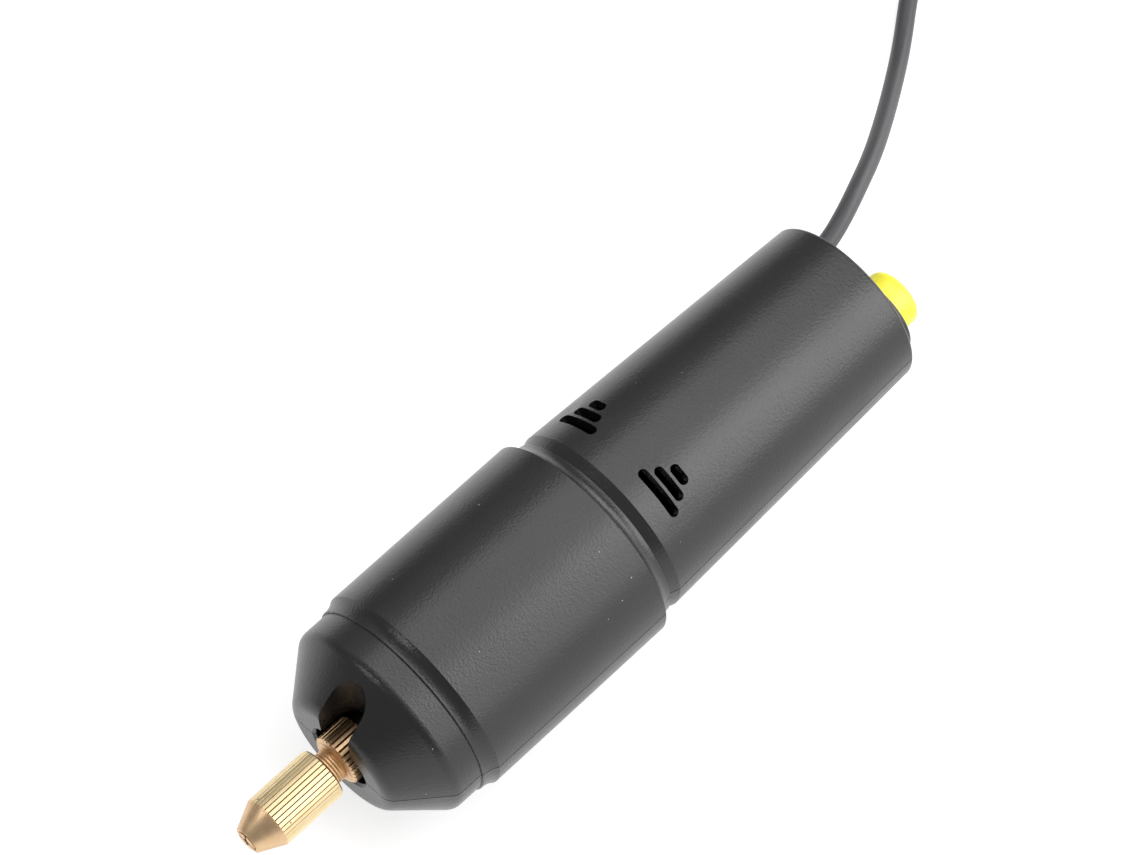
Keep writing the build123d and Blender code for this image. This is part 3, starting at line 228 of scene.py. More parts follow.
# The laminations' cut edges are dull steel, with a dark line of varnish between them
lamination = 0.5 * MM
varnish_line = 0.12 * lamination
core_steel, tree, shader, place = new_material("laminated_steel", Metallic=1.0, Roughness=0.5)
axes = add_node(tree, "ShaderNodeSeparateXYZ", {0: place})
sheets = add_node(tree, "ShaderNodeMath", {0: axes.outputs["X"], 1: lamination}, operation="PINGPONG")
gaps = add_node(tree, "ShaderNodeMapRange", {"Value": sheets.outputs[0], "From Min": 0.0,
                                             "From Max": varnish_line})
tone = add_node(tree, "ShaderNodeMix", {0: gaps.outputs["Result"], 6: linear("3A332E"), 7: linear("8A8D90")},
                data_type="RGBA")
finish_surface(tree, shader, tone.outputs[2], gaps.outputs["Result"], depth=0.03 * MM)
dress(core_steel, "rotor_core")

# Wire of 0.35 mm lies side by side along each pole; the enamel is clear and reddish, with painted shade where each
# turn meets the next and a painted highlight along its crest
wire_width = 0.35 * MM
enamelled, tree, shader, place = new_material("enamelled_copper_wire", Metallic=1.0, Roughness=0.28,
                                              Coat_Weight=0.5)
reach = add_node(tree, "ShaderNodeVectorMath", {0: place, 1: (0.0, 1.0, 1.0)}, operation="MULTIPLY")
from_axis = add_node(tree, "ShaderNodeVectorMath", {0: reach.outputs["Vector"], 1: (0.0, 0.0, axis_height)},
                     operation="DISTANCE")
turns = add_node(tree, "ShaderNodeMath", {0: from_axis.outputs["Value"], 1: wire_width / 2}, operation="PINGPONG")
wire_relief_and_shade = add_node(tree, "ShaderNodeMapRange", {"Value": turns.outputs[0], "From Min": 0.0,
                                                   "From Max": wire_width / 2})
# Painted light: darker where the turns meet, lighter along each turn's crest
tone = add_node(tree, "ShaderNodeMix", {0: wire_relief_and_shade.outputs["Result"], 6: linear("6B2F16"), 7: linear("D07A48")},
                data_type="RGBA")
finish_surface(tree, shader, tone.outputs[2], wire_relief_and_shade.outputs["Result"], depth=0.08 * MM)
dress(enamelled, "rotor_windings")

# The commutator's copper is turned, and worn in rings where the brushes run
brush_track = 0.15 * MM
copper, tree, shader, place = new_material("turned_copper", Metallic=1.0, Roughness=0.3)
worn_track = add_node(tree, "ShaderNodeMapping", {"Vector": place, "Scale": (1.0, 0.02, 0.02)})
tracks = add_node(tree, "ShaderNodeTexNoise", {"Vector": worn_track.outputs["Vector"], "Scale": 1 / brush_track})
tone = add_node(tree, "ShaderNodeMix", {0: tracks.outputs["Fac"], 6: linear("8F4A2C"), 7: linear("D98A62")},
                data_type="RGBA")
finish_surface(tree, shader, tone.outputs[2], tracks.outputs["Fac"], depth=0.008 * MM)
dress(copper, "commutator")

# Chuck: body, nut and split collet turned from brass bar. The nut screws over the neck and closes the collet,
# and straight knurls are rolled into the collar and the nut: wide flat lands with a narrow groove between them.
# Each outline is a list of stations along the drill and their radii, in millimetres.
nut_land_radius = 4.275
nut_teeth = 36
nut_groove = 0.17
nut_knurl = (-62.3, -50.7)

# Nut: thread bore, rear face and rim, lands, cone, mouth, and the collet's seat back to the thread
nut_form = [
    (-57.165, 2.45), (-57.165, 2.83), (-50.765, 2.83), (-50.765, 3.9), (-50.83, 4.05), (-51.065, nut_land_radius),
    (-61.865, nut_land_radius), (-65.86, 2.36), (-65.965, 2.24), (-65.965, 1.8), (-63.765, 2.45), (-57.165, 2.45),
]
collar_land_radius = 4.3
collar_teeth = 31
collar_groove = 0.32
collar_knurl = (-48.6, -43.1)

# Body: shaft bore, hub, collar and its short cone, then the neck, threaded as one ring for each turn,
# and the collet's socket
body_form = [
    (-47.315, 1.17), (-40.615, 1.17), (-40.615, 3.1), (-40.715, 3.2), (-43.215, 3.2), (-43.215, 4.1),
    (-43.415, collar_land_radius), (-48.2, collar_land_radius), (-48.55, 3.84), (-48.6, 3.45), (-48.68, 3.36),
    (-48.9, 3.04), (-48.98, 2.62),
]
thread_start = -49.1
thread_pitch = 0.5
thread_rings = 13
thread_crest = 2.725
for ring in range(thread_rings):
    thread_x = thread_start - thread_pitch * ring
    body_form += [(thread_x, 2.66), (thread_x - 0.12, thread_crest), (thread_x - 0.28, thread_crest),
                  (thread_x - 0.4, 2.56)]
body_form += [(-55.6, 2.54), (-55.815, 2.325), (-55.815, 2.08), (-50.215, 2.08)]
grub_hole_x = -45.315
grub_hole_radius = 1.22
grub_hole_cut = 10.0


def select_parts(piece, kind, chosen):
    """In edit mode, selects the faces or edges that the test picks, and nothing else."""
    bpy.ops.mesh.select_all(action="DESELECT")
    bpy.ops.mesh.select_mode(type=kind)
    form = bmesh.from_edit_mesh(piece.data)
    for part in form.faces if kind == "FACE" else form.edges:
        part.select_set(chosen(part))
    bmesh.update_edit_mesh(piece.data)


def turned_piece(name, sides, form):
    """
    A piece turned from bar: a disc extruded from station to station of its outline.
    An outline that comes back to where it began makes a ring; any other keeps its two end discs.
    """
    bpy.ops.object.select_all(action="DESELECT")
    bpy.ops.mesh.primitive_circle_add(vertices=sides, radius=form[0][1] * MM, fill_type="NGON",
                                      location=(form[0][0] * MM, 0, axis_height), rotation=(0, math.pi / 2, 0))
    piece = bpy.context.object
    piece.name = name
    bpy.ops.object.transform_apply(location=True, rotation=True, scale=True)
    bpy.ops.object.mode_set(mode="EDIT")
    bpy.ops.mesh.select_all(action="SELECT")
    for (old_x, old_radius), (x, radius) in zip(form, form[1:]):
        bpy.ops.mesh.extrude_region_move(TRANSFORM_OT_translate={"value": ((x - old_x) * MM, 0, 0)})
        widen = radius / old_radius
        bpy.ops.transform.resize(value=(1, widen, widen), center_override=(x * MM, 0, axis_height))
    if form[0] == form[-1]:
        select_parts(piece, "FACE", lambda face: len(face.verts) == sides)
        bpy.ops.mesh.delete(type="ONLY_FACE")
    bpy.ops.mesh.select_all(action="SELECT")
    bpy.ops.mesh.remove_doubles(threshold=0.001 * MM)
    bpy.ops.mesh.normals_make_consistent(inside=False)
    bpy.ops.object.mode_set(mode="OBJECT")
    return piece


def cut_away(piece, cutter):
    """Takes a cutter's shape out of a piece, removes the cutter, and merges the cut's points that coincide."""
    cut = piece.modifiers.new("cut", "BOOLEAN")
    cut.operation = "DIFFERENCE"
    cut.object = cutter
    bpy.context.view_layer.objects.active = piece
    bpy.ops.object.modifier_apply(modifier=cut.name)
    bpy.data.objects.remove(cutter)
    bpy.ops.object.mode_set(mode="EDIT")
    bpy.ops.mesh.select_all(action="SELECT")
    bpy.ops.mesh.remove_doubles(threshold=0.001 * MM)
    bpy.ops.object.mode_set(mode="OBJECT")


def roll_knurl(piece, teeth, radius, groove, ends):
    """Cuts V grooves lengthwise round a turned piece, with one three-sided prism each."""
    bpy.ops.object.select_all(action="DESELECT")
    prism_radius = 0.4 * MM
    prism_from_axis = (radius - groove) * MM + prism_radius
    cutters = []
    for tooth in range(teeth):
        angle = 2 * math.pi * tooth / teeth
        lying = Matrix.Rotation(angle + math.pi, 3, "X") @ Matrix.Rotation(math.pi / 2, 3, "Y")
        place = Vector((sum(ends) / 2 * MM, prism_from_axis * math.cos(angle),
                        axis_height + prism_from_axis * math.sin(angle)))
        bpy.ops.mesh.primitive_cylinder_add(vertices=3, radius=prism_radius, depth=(ends[1] - ends[0]) * MM,
                                            location=place, rotation=lying.to_euler())
        cutters.append(bpy.context.object)
    for cutter in cutters:
        cutter.select_set(True)
    bpy.ops.object.join()
    cut_away(piece, bpy.context.object)
    bpy.ops.object.select_all(action="DESELECT")
    piece.select_set(True)
    bpy.ops.object.shade_smooth_by_angle(angle=math.radians(24))


nut = turned_piece("knurled_nut", 2 * nut_teeth, nut_form)
roll_knurl(nut, nut_teeth, nut_land_radius, nut_groove, nut_knurl)
chuck = turned_piece("knurled_chuck_body", 2 * collar_teeth, body_form)
bpy.ops.object.select_all(action="DESELECT")
bpy.ops.mesh.primitive_cylinder_add(vertices=32, radius=grub_hole_radius * MM, depth=grub_hole_cut * MM,
                                    location=(grub_hole_x * MM, 0, axis_height), rotation=(math.pi / 2, 0, 0))
cut_away(chuck, bpy.context.object)
roll_knurl(chuck, collar_teeth, collar_land_radius, collar_groove, collar_knurl)

# Bare brass with painted light: paler along the nut's knurl as a painted highlight, browner on the collar, the
# neck and the cones as painted shade, and darker in the grooves as painted shade; with fine turning rings, clouds
# of tarnish and a few small dark marks
groove_top = 4.25 * MM
groove_floor = 4.17 * MM
nut_middle, nut_half_length = -56.35 * MM, 5.5 * MM
collar_middle, collar_half_length = -45.65 * MM, 2.3 * MM
tarnish_cloud = 1.4 * MM
mark_spacing = 2.2 * MM
mark_radius = 0.06 * mark_spacing
turning_line = 0.12 * MM
brass, tree, shader, place = new_material("turned_brass", Metallic=1.0)
axes = add_node(tree, "ShaderNodeSeparateXYZ", {0: place})
flat = add_node(tree, "ShaderNodeCombineXYZ", {"Y": axes.outputs["Y"], "Z": axes.outputs["Z"]})
from_axis = add_node(tree, "ShaderNodeVectorMath", {0: flat.outputs["Vector"], 1: (0.0, 0.0, axis_height)},
                     operation="DISTANCE")
sunk = add_node(tree, "ShaderNodeMapRange", {"Value": from_axis.outputs["Value"], "From Min": groove_top,
                                             "From Max": groove_floor}, interpolation_type="SMOOTHSTEP")
on_nut = add_node(tree, "ShaderNodeMath", {0: axes.outputs["X"], 1: nut_middle, 2: nut_half_length},
                  operation="COMPARE")
on_collar = add_node(tree, "ShaderNodeMath", {0: axes.outputs["X"], 1: collar_middle, 2: collar_half_length},
                     operation="COMPARE")
knurled = add_node(tree, "ShaderNodeMath", {0: on_nut.outputs[0], 1: on_collar.outputs[0]}, operation="ADD")
groove = add_node(tree, "ShaderNodeMath", {0: sunk.outputs["Result"], 1: knurled.outputs[0]},
                  operation="MULTIPLY")
tarnish = add_node(tree, "ShaderNodeTexNoise", {"Vector": place, "Scale": 1 / tarnish_cloud, "Detail": 5.0})
# Painted highlight: the brass along the nut's knurl is made paler; the collar, the neck and the cones get a
# browner copy as painted shade
painted_lit_brass = add_node(tree, "ShaderNodeMix", {0: tarnish.outputs["Fac"], 6: linear("DCC496"), 7: linear("EAD8B0")},
                  data_type="RGBA")
painted_shade_brass = add_node(tree, "ShaderNodeMix", {0: tarnish.outputs["Fac"], 6: linear("CFAA84"), 7: linear("EBCDA4")},
                 data_type="RGBA")
brass_lit_and_shaded = add_node(tree, "ShaderNodeMix", {0: on_nut.outputs[0], 6: painted_shade_brass.outputs[2], 7: painted_lit_brass.outputs[2]},
                data_type="RGBA")
# Painted shade: the knurls' grooves are darkened towards brown
groove_painted_shade = add_node(tree, "ShaderNodeMix", {0: groove.outputs[0], 6: brass_lit_and_shaded.outputs[2], 7: linear("7A5E36")},
                   data_type="RGBA")
marks = add_node(tree, "ShaderNodeTexVoronoi", {"Vector": place, "Scale": 1 / mark_spacing})
mark = add_node(tree, "ShaderNodeMath", {0: marks.outputs["Distance"], 1: mark_radius / mark_spacing},
                operation="LESS_THAN")
marked = add_node(tree, "ShaderNodeMix", {0: mark.outputs[0], 6: groove_painted_shade.outputs[2], 7: linear("6B4A24")},
                  data_type="RGBA")
turning = add_node(tree, "ShaderNodeMapping", {"Vector": place, "Scale": (1.0, 0.015, 0.015)})
rings = add_node(tree, "ShaderNodeTexNoise", {"Vector": turning.outputs["Vector"], "Scale": 1 / turning_line,
                                              "Detail": 2.0})
sheen = add_node(tree, "ShaderNodeMapRange", {"Value": rings.outputs["Fac"], "To Min": 0.32, "To Max": 0.48})
tree.links.new(sheen.outputs["Result"], shader.inputs["Roughness"])
finish_surface(tree, shader, marked.outputs[2], rings.outputs["Fac"], depth=0.006 * MM)
for piece, node, body in ((nut, "chuck_nut", "chuck_nut"), (chuck, "chuck_body", "spindle")):
    piece.data.materials.append(brass)
    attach(piece, body)
    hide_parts(node)
dress(brass, "collet")
dress(black_steel, "chuck_grub_screws")

# Switch: a push switch with a black nylon body and round bezel, held by a nickel-plated ring nut behind the wall.
# The nylon is glossier than the shells, because its mould was polished.
nylon_wave = 3 * MM
black_nylon, tree, shader, place = new_material("moulded_black_nylon", IOR=1.53)
wavy = add_node(tree, "ShaderNodeTexNoise", {"Vector": place, "Scale": 1 / nylon_wave, "Detail": 2.0})
gloss = add_node(tree, "ShaderNodeMapRange", {"Value": wavy.outputs["Fac"], "To Min": 0.24, "To Max": 0.36})
tree.links.new(gloss.outputs["Result"], shader.inputs["Roughness"])
tone = add_node(tree, "ShaderNodeMix", {0: wavy.outputs["Fac"], 6: linear("141415"), 7: linear("1E1E20")},
                data_type="RGBA")
finish_surface(tree, shader, tone.outputs[2], wavy.outputs["Fac"], depth=0.01 * MM)
dress(black_nylon, "switch_body")
dress(strip_brass, "switch_terminals")

# Nickel plating is a warm silver, smooth, and hazy in soft patches
plating_patch = 1.2 * MM
nickel, tree, shader, place = new_material("nickel_plated_steel", Metallic=1.0)
plating = add_node(tree, "ShaderNodeTexNoise", {"Vector": place, "Scale": 1 / plating_patch, "Detail": 3.0})
polish = add_node(tree, "ShaderNodeMapRange", {"Value": plating.outputs["Fac"], "To Min": 0.16, "To Max": 0.3})
tree.links.new(polish.outputs["Result"], shader.inputs["Roughness"])
tone = add_node(tree, "ShaderNodeMix", {0: plating.outputs["Fac"], 6: linear("BDBAB2"), 7: linear("D9D7D0")},
                data_type="RGBA")
finish_surface(tree, shader, tone.outputs[2], plating.outputs["Fac"], depth=0.005 * MM)
dress(nickel, "switch_nut")

# Button: a cap moulded in lemon yellow ABS, rounded at its rim and polished, that pushes into the bezel.
# The colour is even, a little deeper where the plastic flowed last.
button_flow = 4 * MM
button_grain = 0.3 * MM
yellow, tree, shader, place = new_material("moulded_yellow_abs", Roughness=0.3, IOR=1.52)
flow = add_node(tree, "ShaderNodeTexNoise", {"Vector": place, "Scale": 1 / button_flow, "Detail": 2.0})
tone = add_node(tree, "ShaderNodeMix", {0: flow.outputs["Fac"], 6: linear("FAEE30"), 7: linear("FDF548")},
                data_type="RGBA")
grain = add_node(tree, "ShaderNodeTexNoise", {"Vector": place, "Scale": 1 / button_grain, "Detail": 2.0})
finish_surface(tree, shader, tone.outputs[2], grain.outputs["Fac"], depth=0.004 * MM)
dress(yellow, "button_cap")

# Button spring: half-millimetre nickel-plated wire wound in four turns between the switch and the cap.
spring_wire = 0.5 * MM
spring_turns = 4
wire_sides = 10
spring_low, spring_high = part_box("button_spring")
spring_run = spring_high.x - spring_low.x - spring_wire
spring_radius = (spring_high.y - spring_low.y - spring_wire) / 2
bpy.ops.object.select_all(action="DESELECT")
bpy.ops.mesh.primitive_circle_add(vertices=wire_sides, radius=spring_wire / 2, location=(0, spring_radius, 0))
spring = bpy.context.object
spring.name = "return_spring"
bpy.ops.object.transform_apply(location=True, rotation=True, scale=True)
winding = spring.modifiers.new("winding", "SCREW")
winding.axis = "X"
winding.steps = winding.render_steps = 24
winding.iterations = spring_turns
winding.screw_offset = spring_run / spring_turns
winding.use_merge_vertices = False
bpy.ops.object.modifier_apply(modifier=winding.name)
spring_middle = (spring_low + spring_high) / 2
spring.location = (spring_low.x + spring_wire / 2, spring_middle.y, spring_middle.z)
bpy.ops.object.transform_apply(location=True, rotation=True, scale=True)
bpy.ops.object.mode_set(mode="EDIT")
bpy.ops.mesh.select_all(action="SELECT")
bpy.ops.mesh.fill_holes(sides=wire_sides)
bpy.ops.mesh.select_all(action="SELECT")
bpy.ops.mesh.normals_make_consistent(inside=False)
bpy.ops.object.mode_set(mode="OBJECT")
bpy.ops.object.shade_smooth_by_angle(angle=math.radians(60))
spring.data.materials.append(nickel)
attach(spring, "body")
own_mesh(spring)
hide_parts("button_spring")

# Wiring: the lead's inner end, held by a tie behind the rear wall, and three single-core wires in thin PVC
# between lead, switch and motor. The red one carries the supply.
cord_diameter = 3.1 * MM
entry_low, entry_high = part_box("cord_entry")
entry_middle = (entry_low + entry_high) / 2
entry_curve = bpy.data.curves.new("lead_end", "CURVE")
entry_curve.dimensions = "3D"
entry_curve.bevel_depth = cord_diameter / 2
entry_curve.bevel_resolution = 6
entry_curve.use_fill_caps = True
entry_spline = entry_curve.splines.new("NURBS")
entry_spline.points.add(3)
for spline_point, share in zip(entry_spline.points, (0.0, 0.3, 0.7, 1.0)):
    inner_x = entry_low.x + share * (entry_high.x - entry_low.x)
    spline_point.co = (inner_x, entry_middle.y, entry_middle.z, 1.0)
entry_spline.order_u = 3
entry_spline.use_endpoint_u = True
lead_end = bpy.data.objects.new("lead_end", entry_curve)
bpy.context.scene.collection.objects.link(lead_end)

# Soft PVC: satin, with faint lines drawn lengthwise by the die, and a little uneven where it has been handled
die_lines_round = 26.0
handled_patch = 6 * MM
pvc_grain = 0.25 * MM
pvc, tree, shader, place = new_material("extruded_black_pvc", IOR=1.53)
own_map = add_node(tree, "ShaderNodeTexCoord", {}).outputs["UV"]
drawn = add_node(tree, "ShaderNodeMapping", {"Vector": own_map, "Scale": (0.0, 1.0, 0.0)})
die_lines = add_node(tree, "ShaderNodeTexNoise", {"Vector": drawn.outputs["Vector"], "Scale": die_lines_round,
                                                  "Detail": 2.0})
handling = add_node(tree, "ShaderNodeTexNoise", {"Vector": place, "Scale": 1 / handled_patch, "Detail": 3.0})
worn = add_node(tree, "ShaderNodeMapRange", {"Value": handling.outputs["Fac"], "To Min": 0.4, "To Max": 0.5})
tree.links.new(worn.outputs["Result"], shader.inputs["Roughness"])
tone = add_node(tree, "ShaderNodeMix", {0: handling.outputs["Fac"], 6: linear("343436"), 7: linear("444447")},
                data_type="RGBA")
grain = add_node(tree, "ShaderNodeTexNoise", {"Vector": place, "Scale": 1 / pvc_grain, "Detail": 2.0})
skin = add_node(tree, "ShaderNodeMath", {0: die_lines.outputs["Fac"], 1: grain.outputs["Fac"]}, operation="ADD")
finish_surface(tree, shader, tone.outputs[2], skin.outputs[0], depth=0.01 * MM)
entry_curve.materials.append(pvc)
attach(lead_end, "body")
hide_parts("cord_entry")

# Thin PVC insulation is glossy and slightly wavy from the reel. The black wires, as glossy as the switch,
# share its finish, and so does the nylon tie.
reel_wave = 3 * MM
red_pvc, tree, shader, place = new_material("red_pvc_insulation", Roughness=0.35)
reel = add_node(tree, "ShaderNodeTexNoise", {"Vector": place, "Scale": 1 / reel_wave, "Detail": 2.0})
tone = add_node(tree, "ShaderNodeMix", {0: reel.outputs["Fac"], 6: linear("A81A14"), 7: linear("C42A20")},
                data_type="RGBA")
finish_surface(tree, shader, tone.outputs[2], reel.outputs["Fac"], depth=0.02 * MM)
dress(red_pvc, "supply_wire")
dress(black_nylon, "switch_wire", "return_wire", "cord_stop_tie")

# Plug: a flat supply plug with a nickel-plated shell round a white tongue and four gilt contacts,
# in a grip of black PVC moulded over the end of the lead, with a matt grain for the fingers.
grip_grain = 0.5 * MM
grip_pvc, tree, shader, place = new_material("moulded_black_pvc", IOR=1.53, Roughness=0.55)
hide = add_node(tree, "ShaderNodeTexNoise", {"Vector": place, "Scale": 1 / grip_grain, "Detail": 4.0})
tone = add_node(tree, "ShaderNodeMix", {0: hide.outputs["Fac"], 6: linear("19191A"), 7: linear("28282A")},
                data_type="RGBA")
finish_surface(tree, shader, tone.outputs[2], hide.outputs["Fac"], depth=0.04 * MM)
dress(grip_pvc, "plug_grip")

# Gilt over nickel: thin, bright and very slightly uneven from the plating bath
gilt_patch = 0.6 * MM
gilt, tree, shader, place = new_material("gilt_contact", Metallic=1.0, Roughness=0.2)
bath = add_node(tree, "ShaderNodeTexNoise", {"Vector": place, "Scale": 1 / gilt_patch, "Detail": 3.0})
tone = add_node(tree, "ShaderNodeMix", {0: bath.outputs["Fac"], 6: linear("D9A94A"), 7: linear("F0CC78")},
                data_type="RGBA")
finish_surface(tree, shader, tone.outputs[2], bath.outputs["Fac"], depth=0.003 * MM)
dress(gilt, "plug_contacts")
dress(nickel, "plug_shell")
dress(nylon, "plug_tongue")

# Coil strap: a black hook-and-loop tape woven from nylon, which holds the lead's turns together.
# It goes once round the turns and closes on itself along the top, where its end lies double.
tape_thickness = 0.7 * MM
tape_corner = 2.4 * MM
tape_edge = 0.12 * MM
lap_lift = 1.05 * tape_thickness
tape_low, tape_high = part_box("coil_tie")
tape_size = tape_high - tape_low
bpy.ops.object.select_all(action="DESELECT")
bpy.ops.mesh.primitive_cube_add(size=1.0, location=(tape_low + tape_high) / 2)
strap = bpy.context.object
strap.name = "coil_strap"
strap.scale = tape_size
bpy.ops.object.transform_apply(location=True, rotation=True, scale=True)
bpy.ops.object.mode_set(mode="EDIT")
select_parts(strap, "FACE", lambda face: abs(face.normal.x) > 0.5)
bpy.ops.mesh.delete(type="ONLY_FACE")
select_parts(strap, "EDGE", lambda edge: edge.calc_length() < 1.1 * tape_size.x and len(edge.link_faces) == 2)
bpy.ops.mesh.bevel(offset=tape_corner, segments=6)
select_parts(strap, "FACE", lambda face: face.calc_center_median().z > tape_high.z - tape_corner
             and face.calc_center_median().y < tape_high.y - tape_corner)
bpy.ops.mesh.duplicate()
bpy.ops.transform.shrink_fatten(value=lap_lift)
bpy.ops.object.mode_set(mode="OBJECT")
wall = strap.modifiers.new("tape", "SOLIDIFY")
wall.thickness = tape_thickness
wall.offset = -1.0
bpy.ops.object.modifier_apply(modifier=wall.name)
soft_edge = strap.modifiers.new("selvedge", "BEVEL")
soft_edge.width = tape_edge
soft_edge.segments = 2
bpy.ops.object.modifier_apply(modifier=soft_edge.name)
bpy.ops.object.shade_smooth_by_angle(angle=math.radians(40))

# Threads cross every half millimetre, with a little fluff; the raised crossings and the fluff are painted lighter
# as a painted highlight, and the hollows between them darker as painted shade
thread_spacing = 0.5 * MM
fluff_width = 0.2 * MM
woven_nylon, tree, shader, place = new_material("woven_black_nylon", Roughness=0.75, Sheen_Weight=0.25)
axes = add_node(tree, "ShaderNodeSeparateXYZ", {0: place})
run = add_node(tree, "ShaderNodeMath", {0: axes.outputs["Y"], 1: axes.outputs["Z"]}, operation="ADD")
across = add_node(tree, "ShaderNodeMath", {0: axes.outputs["X"], 1: 2 * math.pi / thread_spacing},
                  operation="MULTIPLY")
along = add_node(tree, "ShaderNodeMath", {0: run.outputs[0], 1: 2 * math.pi / thread_spacing},
                 operation="MULTIPLY")
warp = add_node(tree, "ShaderNodeMath", {0: across.outputs[0]}, operation="SINE")
weft = add_node(tree, "ShaderNodeMath", {0: along.outputs[0]}, operation="SINE")
crossing = add_node(tree, "ShaderNodeMath", {0: warp.outputs[0], 1: weft.outputs[0]}, operation="MULTIPLY")
fluff = add_node(tree, "ShaderNodeTexNoise", {"Vector": place, "Scale": 1 / fluff_width, "Detail": 3.0})
weave = add_node(tree, "ShaderNodeMath", {0: crossing.outputs[0], 1: fluff.outputs["Fac"]}, operation="ADD")
weave_painted_light = add_node(tree, "ShaderNodeMapRange", {"Value": weave.outputs[0], "From Min": -0.6, "From Max": 1.6})
# Painted light: the weave's colour follows its relief, lighter on the raised threads and darker between them
tone = add_node(tree, "ShaderNodeMix", {0: weave_painted_light.outputs["Result"], 6: linear("141416"), 7: linear("34343A")},
                data_type="RGBA")
finish_surface(tree, shader, tone.outputs[2], weave.outputs[0], depth=0.06 * MM)
strap.data.materials.append(woven_nylon)
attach(strap, "body")
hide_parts("coil_tie")

# Lead: a round two-core cable with a soft black PVC jacket, drawn through a die, so it is smooth and satin.
# It leaves the rear face beside the button, bends down to the table and ends in a neat tied coil,
# with a short tail to its plug.
lead_route = [
    (59.365, 8.78, 18.0),
    (62.2, 8.88, 18.0),
    (66.4, 9.6, 17.7),
    (71.6, 11.5, 16.8),
    (77.6, 14.3, 15.0),
    (84.6, 17.9, 12.0),
    (92.0, 22.5, 8.3),
    (100.0, 27.8, 4.6),
    (108.2, 33.4, 2.0),
    (117.0, 40.0, 1.55),
    (127.0, 46.5, 1.6),
    (138.0, 50.3, 1.85),
    (149.0, 52.3, 2.2),
    (157.9, 52.5, 2.35),
    (166.9, 52.5, 2.35),
]
coil_outer_radius = 25.9
coil_pitch = 4.2
coil_centre = Vector((170.0, 52.5 - coil_outer_radius, 2.35))
coil_inward_half_turns = 7
coil_half_turns = 14
points_in_half_turn = 9

# The spline passes inside its control points, by the cosine of half the angle between them
control_spread = 1 / math.cos(math.pi / points_in_half_turn / 2)
lead_points = [Vector(point) for point in lead_route]
for step in range(coil_half_turns * points_in_half_turn + 1):
    half_turns = (step + 0.5) / points_in_half_turn
    angle = half_turns * math.pi
    inward = min(half_turns, coil_inward_half_turns)
    outward = max(half_turns - coil_inward_half_turns - 1, 0)
    radius = coil_outer_radius + (outward - inward) * coil_pitch / 2
    climb = min(max(half_turns - coil_inward_half_turns, 0), 1) * coil_pitch
    turned = control_spread * radius * Vector((math.sin(angle), math.cos(angle), 0))
    lead_points.append(coil_centre + turned + Vector((0, 0, climb)))
lead_tail = [
    (185.7, 45.4, 6.55),
    (191.7, 41.9, 6.55),
    (198.1, 34.2, 5.3),
    (201.2, 24.7, 4.0),
    (201.2, 18.7, 4.0),
]
lead_points += [Vector(point) for point in lead_tail]

lead_curve = bpy.data.curves.new("lead", "CURVE")
lead_curve.dimensions = "3D"
lead_curve.bevel_depth = cord_diameter / 2
lead_curve.bevel_resolution = 6
lead_curve.resolution_u = 6
lead_curve.use_fill_caps = True
lead_spline = lead_curve.splines.new("NURBS")
lead_spline.points.add(len(lead_points) - 1)
for spline_point, point in zip(lead_spline.points, lead_points):
    spline_point.co = (*(point * MM), 1.0)
lead_spline.order_u = 3
lead_spline.use_endpoint_u = True
lead = bpy.data.objects.new("lead", lead_curve)
bpy.context.scene.collection.objects.link(lead)
lead_curve.materials.append(pvc)
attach(lead, "body")
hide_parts("cord", "cord_coil", "cord_tail")

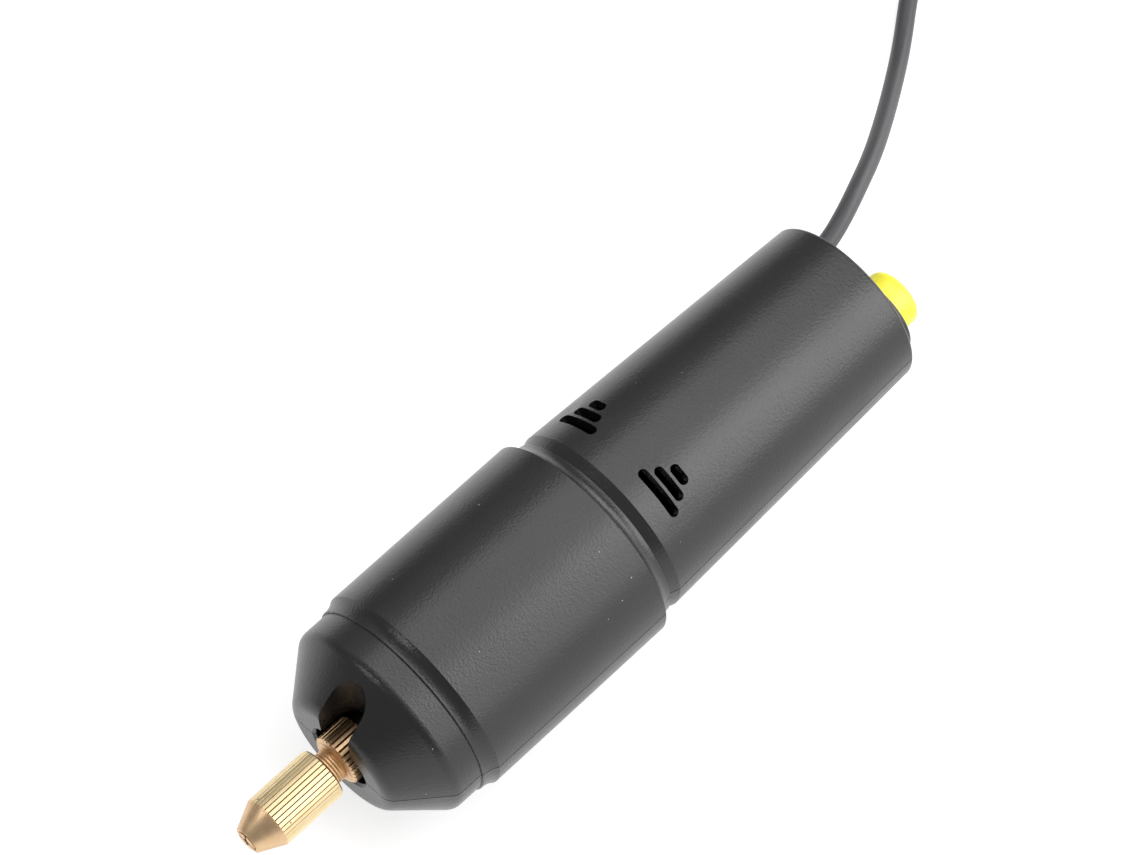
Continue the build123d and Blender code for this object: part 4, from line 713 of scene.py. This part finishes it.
# Floor: a wide white table. It also glows a little to the camera and in reflections,
# so that it reads as plain white and still keeps the drill's soft shadow.
table_width = 8.0
table_glow = 0.68
bpy.ops.object.select_all(action="DESELECT")
bpy.ops.mesh.primitive_plane_add(size=table_width, location=(0, 0, 0))
floor = bpy.context.object
floor.name = "floor"
table_white, tree, shader, place = new_material("white_table", Roughness=0.9)
shader.inputs["Base Color"].default_value = linear("BCBCBC")
shader.inputs["Emission Color"].default_value = linear("FFFFFF")
seen = add_node(tree, "ShaderNodeLightPath", {})
by_eye = add_node(tree, "ShaderNodeMath", {0: seen.outputs["Is Camera Ray"], 1: seen.outputs["Is Glossy Ray"]},
                  operation="MAXIMUM")
by_any = add_node(tree, "ShaderNodeMath", {0: by_eye.outputs[0], 1: seen.outputs["Is Transmission Ray"]},
                  operation="MAXIMUM")
glow = add_node(tree, "ShaderNodeMath", {0: by_any.outputs[0], 1: table_glow}, operation="MULTIPLY")
tree.links.new(glow.outputs[0], shader.inputs["Emission Strength"])
floor.data.materials.append(table_white)


# Light: plain soft panels in an even white room: one level above the drill, one leaning in from its near side,
# one for the handle, and a low one beyond the button end for the lead and the edges that face it.
# A weak one on the far side and a small one ahead of the tip show in the brass.
def soft_panel(name, place, size, power, aim):
    """A rectangular lamp at a place, turned to a point, with its size along and across the drill, in metres."""
    lamp = bpy.data.lights.new(name, "AREA")
    lamp.shape = "RECTANGLE"
    lamp.size, lamp.size_y = size
    lamp.energy = power
    panel = bpy.data.objects.new(name, lamp)
    bpy.context.scene.collection.objects.link(panel)
    panel.location = place
    panel.rotation_euler = (Vector(aim) - Vector(place)).to_track_quat("-Z", "Y").to_euler()


soft_panel("overhead", place=(0.3, -0.035, 0.8), size=(0.52, 1.13), power=4.3, aim=(0.3, -0.035, 0.0))
soft_panel("near_side", place=(0.4, -0.85, 0.43), size=(0.8, 0.88), power=5.2, aim=(0.4, 0.0, -0.137))
soft_panel("handle_side", place=(0.52, -0.6, 0.48), size=(0.4, 0.9), power=3.0, aim=(0.03, 0.0, 0.03))
soft_panel("button_end", place=(1.0, -0.1, 0.24), size=(0.9, 0.46), power=4.5, aim=(0.08, 0.03, 0.02))
soft_panel("far_side", place=(0.22, 1.0, 0.85), size=(0.9, 0.5), power=0.5, aim=(-0.05, 0.0, 0.018))
soft_panel("tip_side", place=(-0.52, 0.29, 0.64), size=(0.2, 0.2), power=0.7, aim=(-0.063, 0.0, 0.018))
room = bpy.data.worlds.new("white_room")
bpy.context.scene.world = room
room.use_nodes = True
sky = room.node_tree.nodes["Background"]
sky.inputs["Color"].default_value = linear("FFFFFF")
sky.inputs["Strength"].default_value = 0.32
bpy.context.scene.view_settings.view_transform = "Standard"

# Bring the scene up to date
bpy.context.view_layer.update()
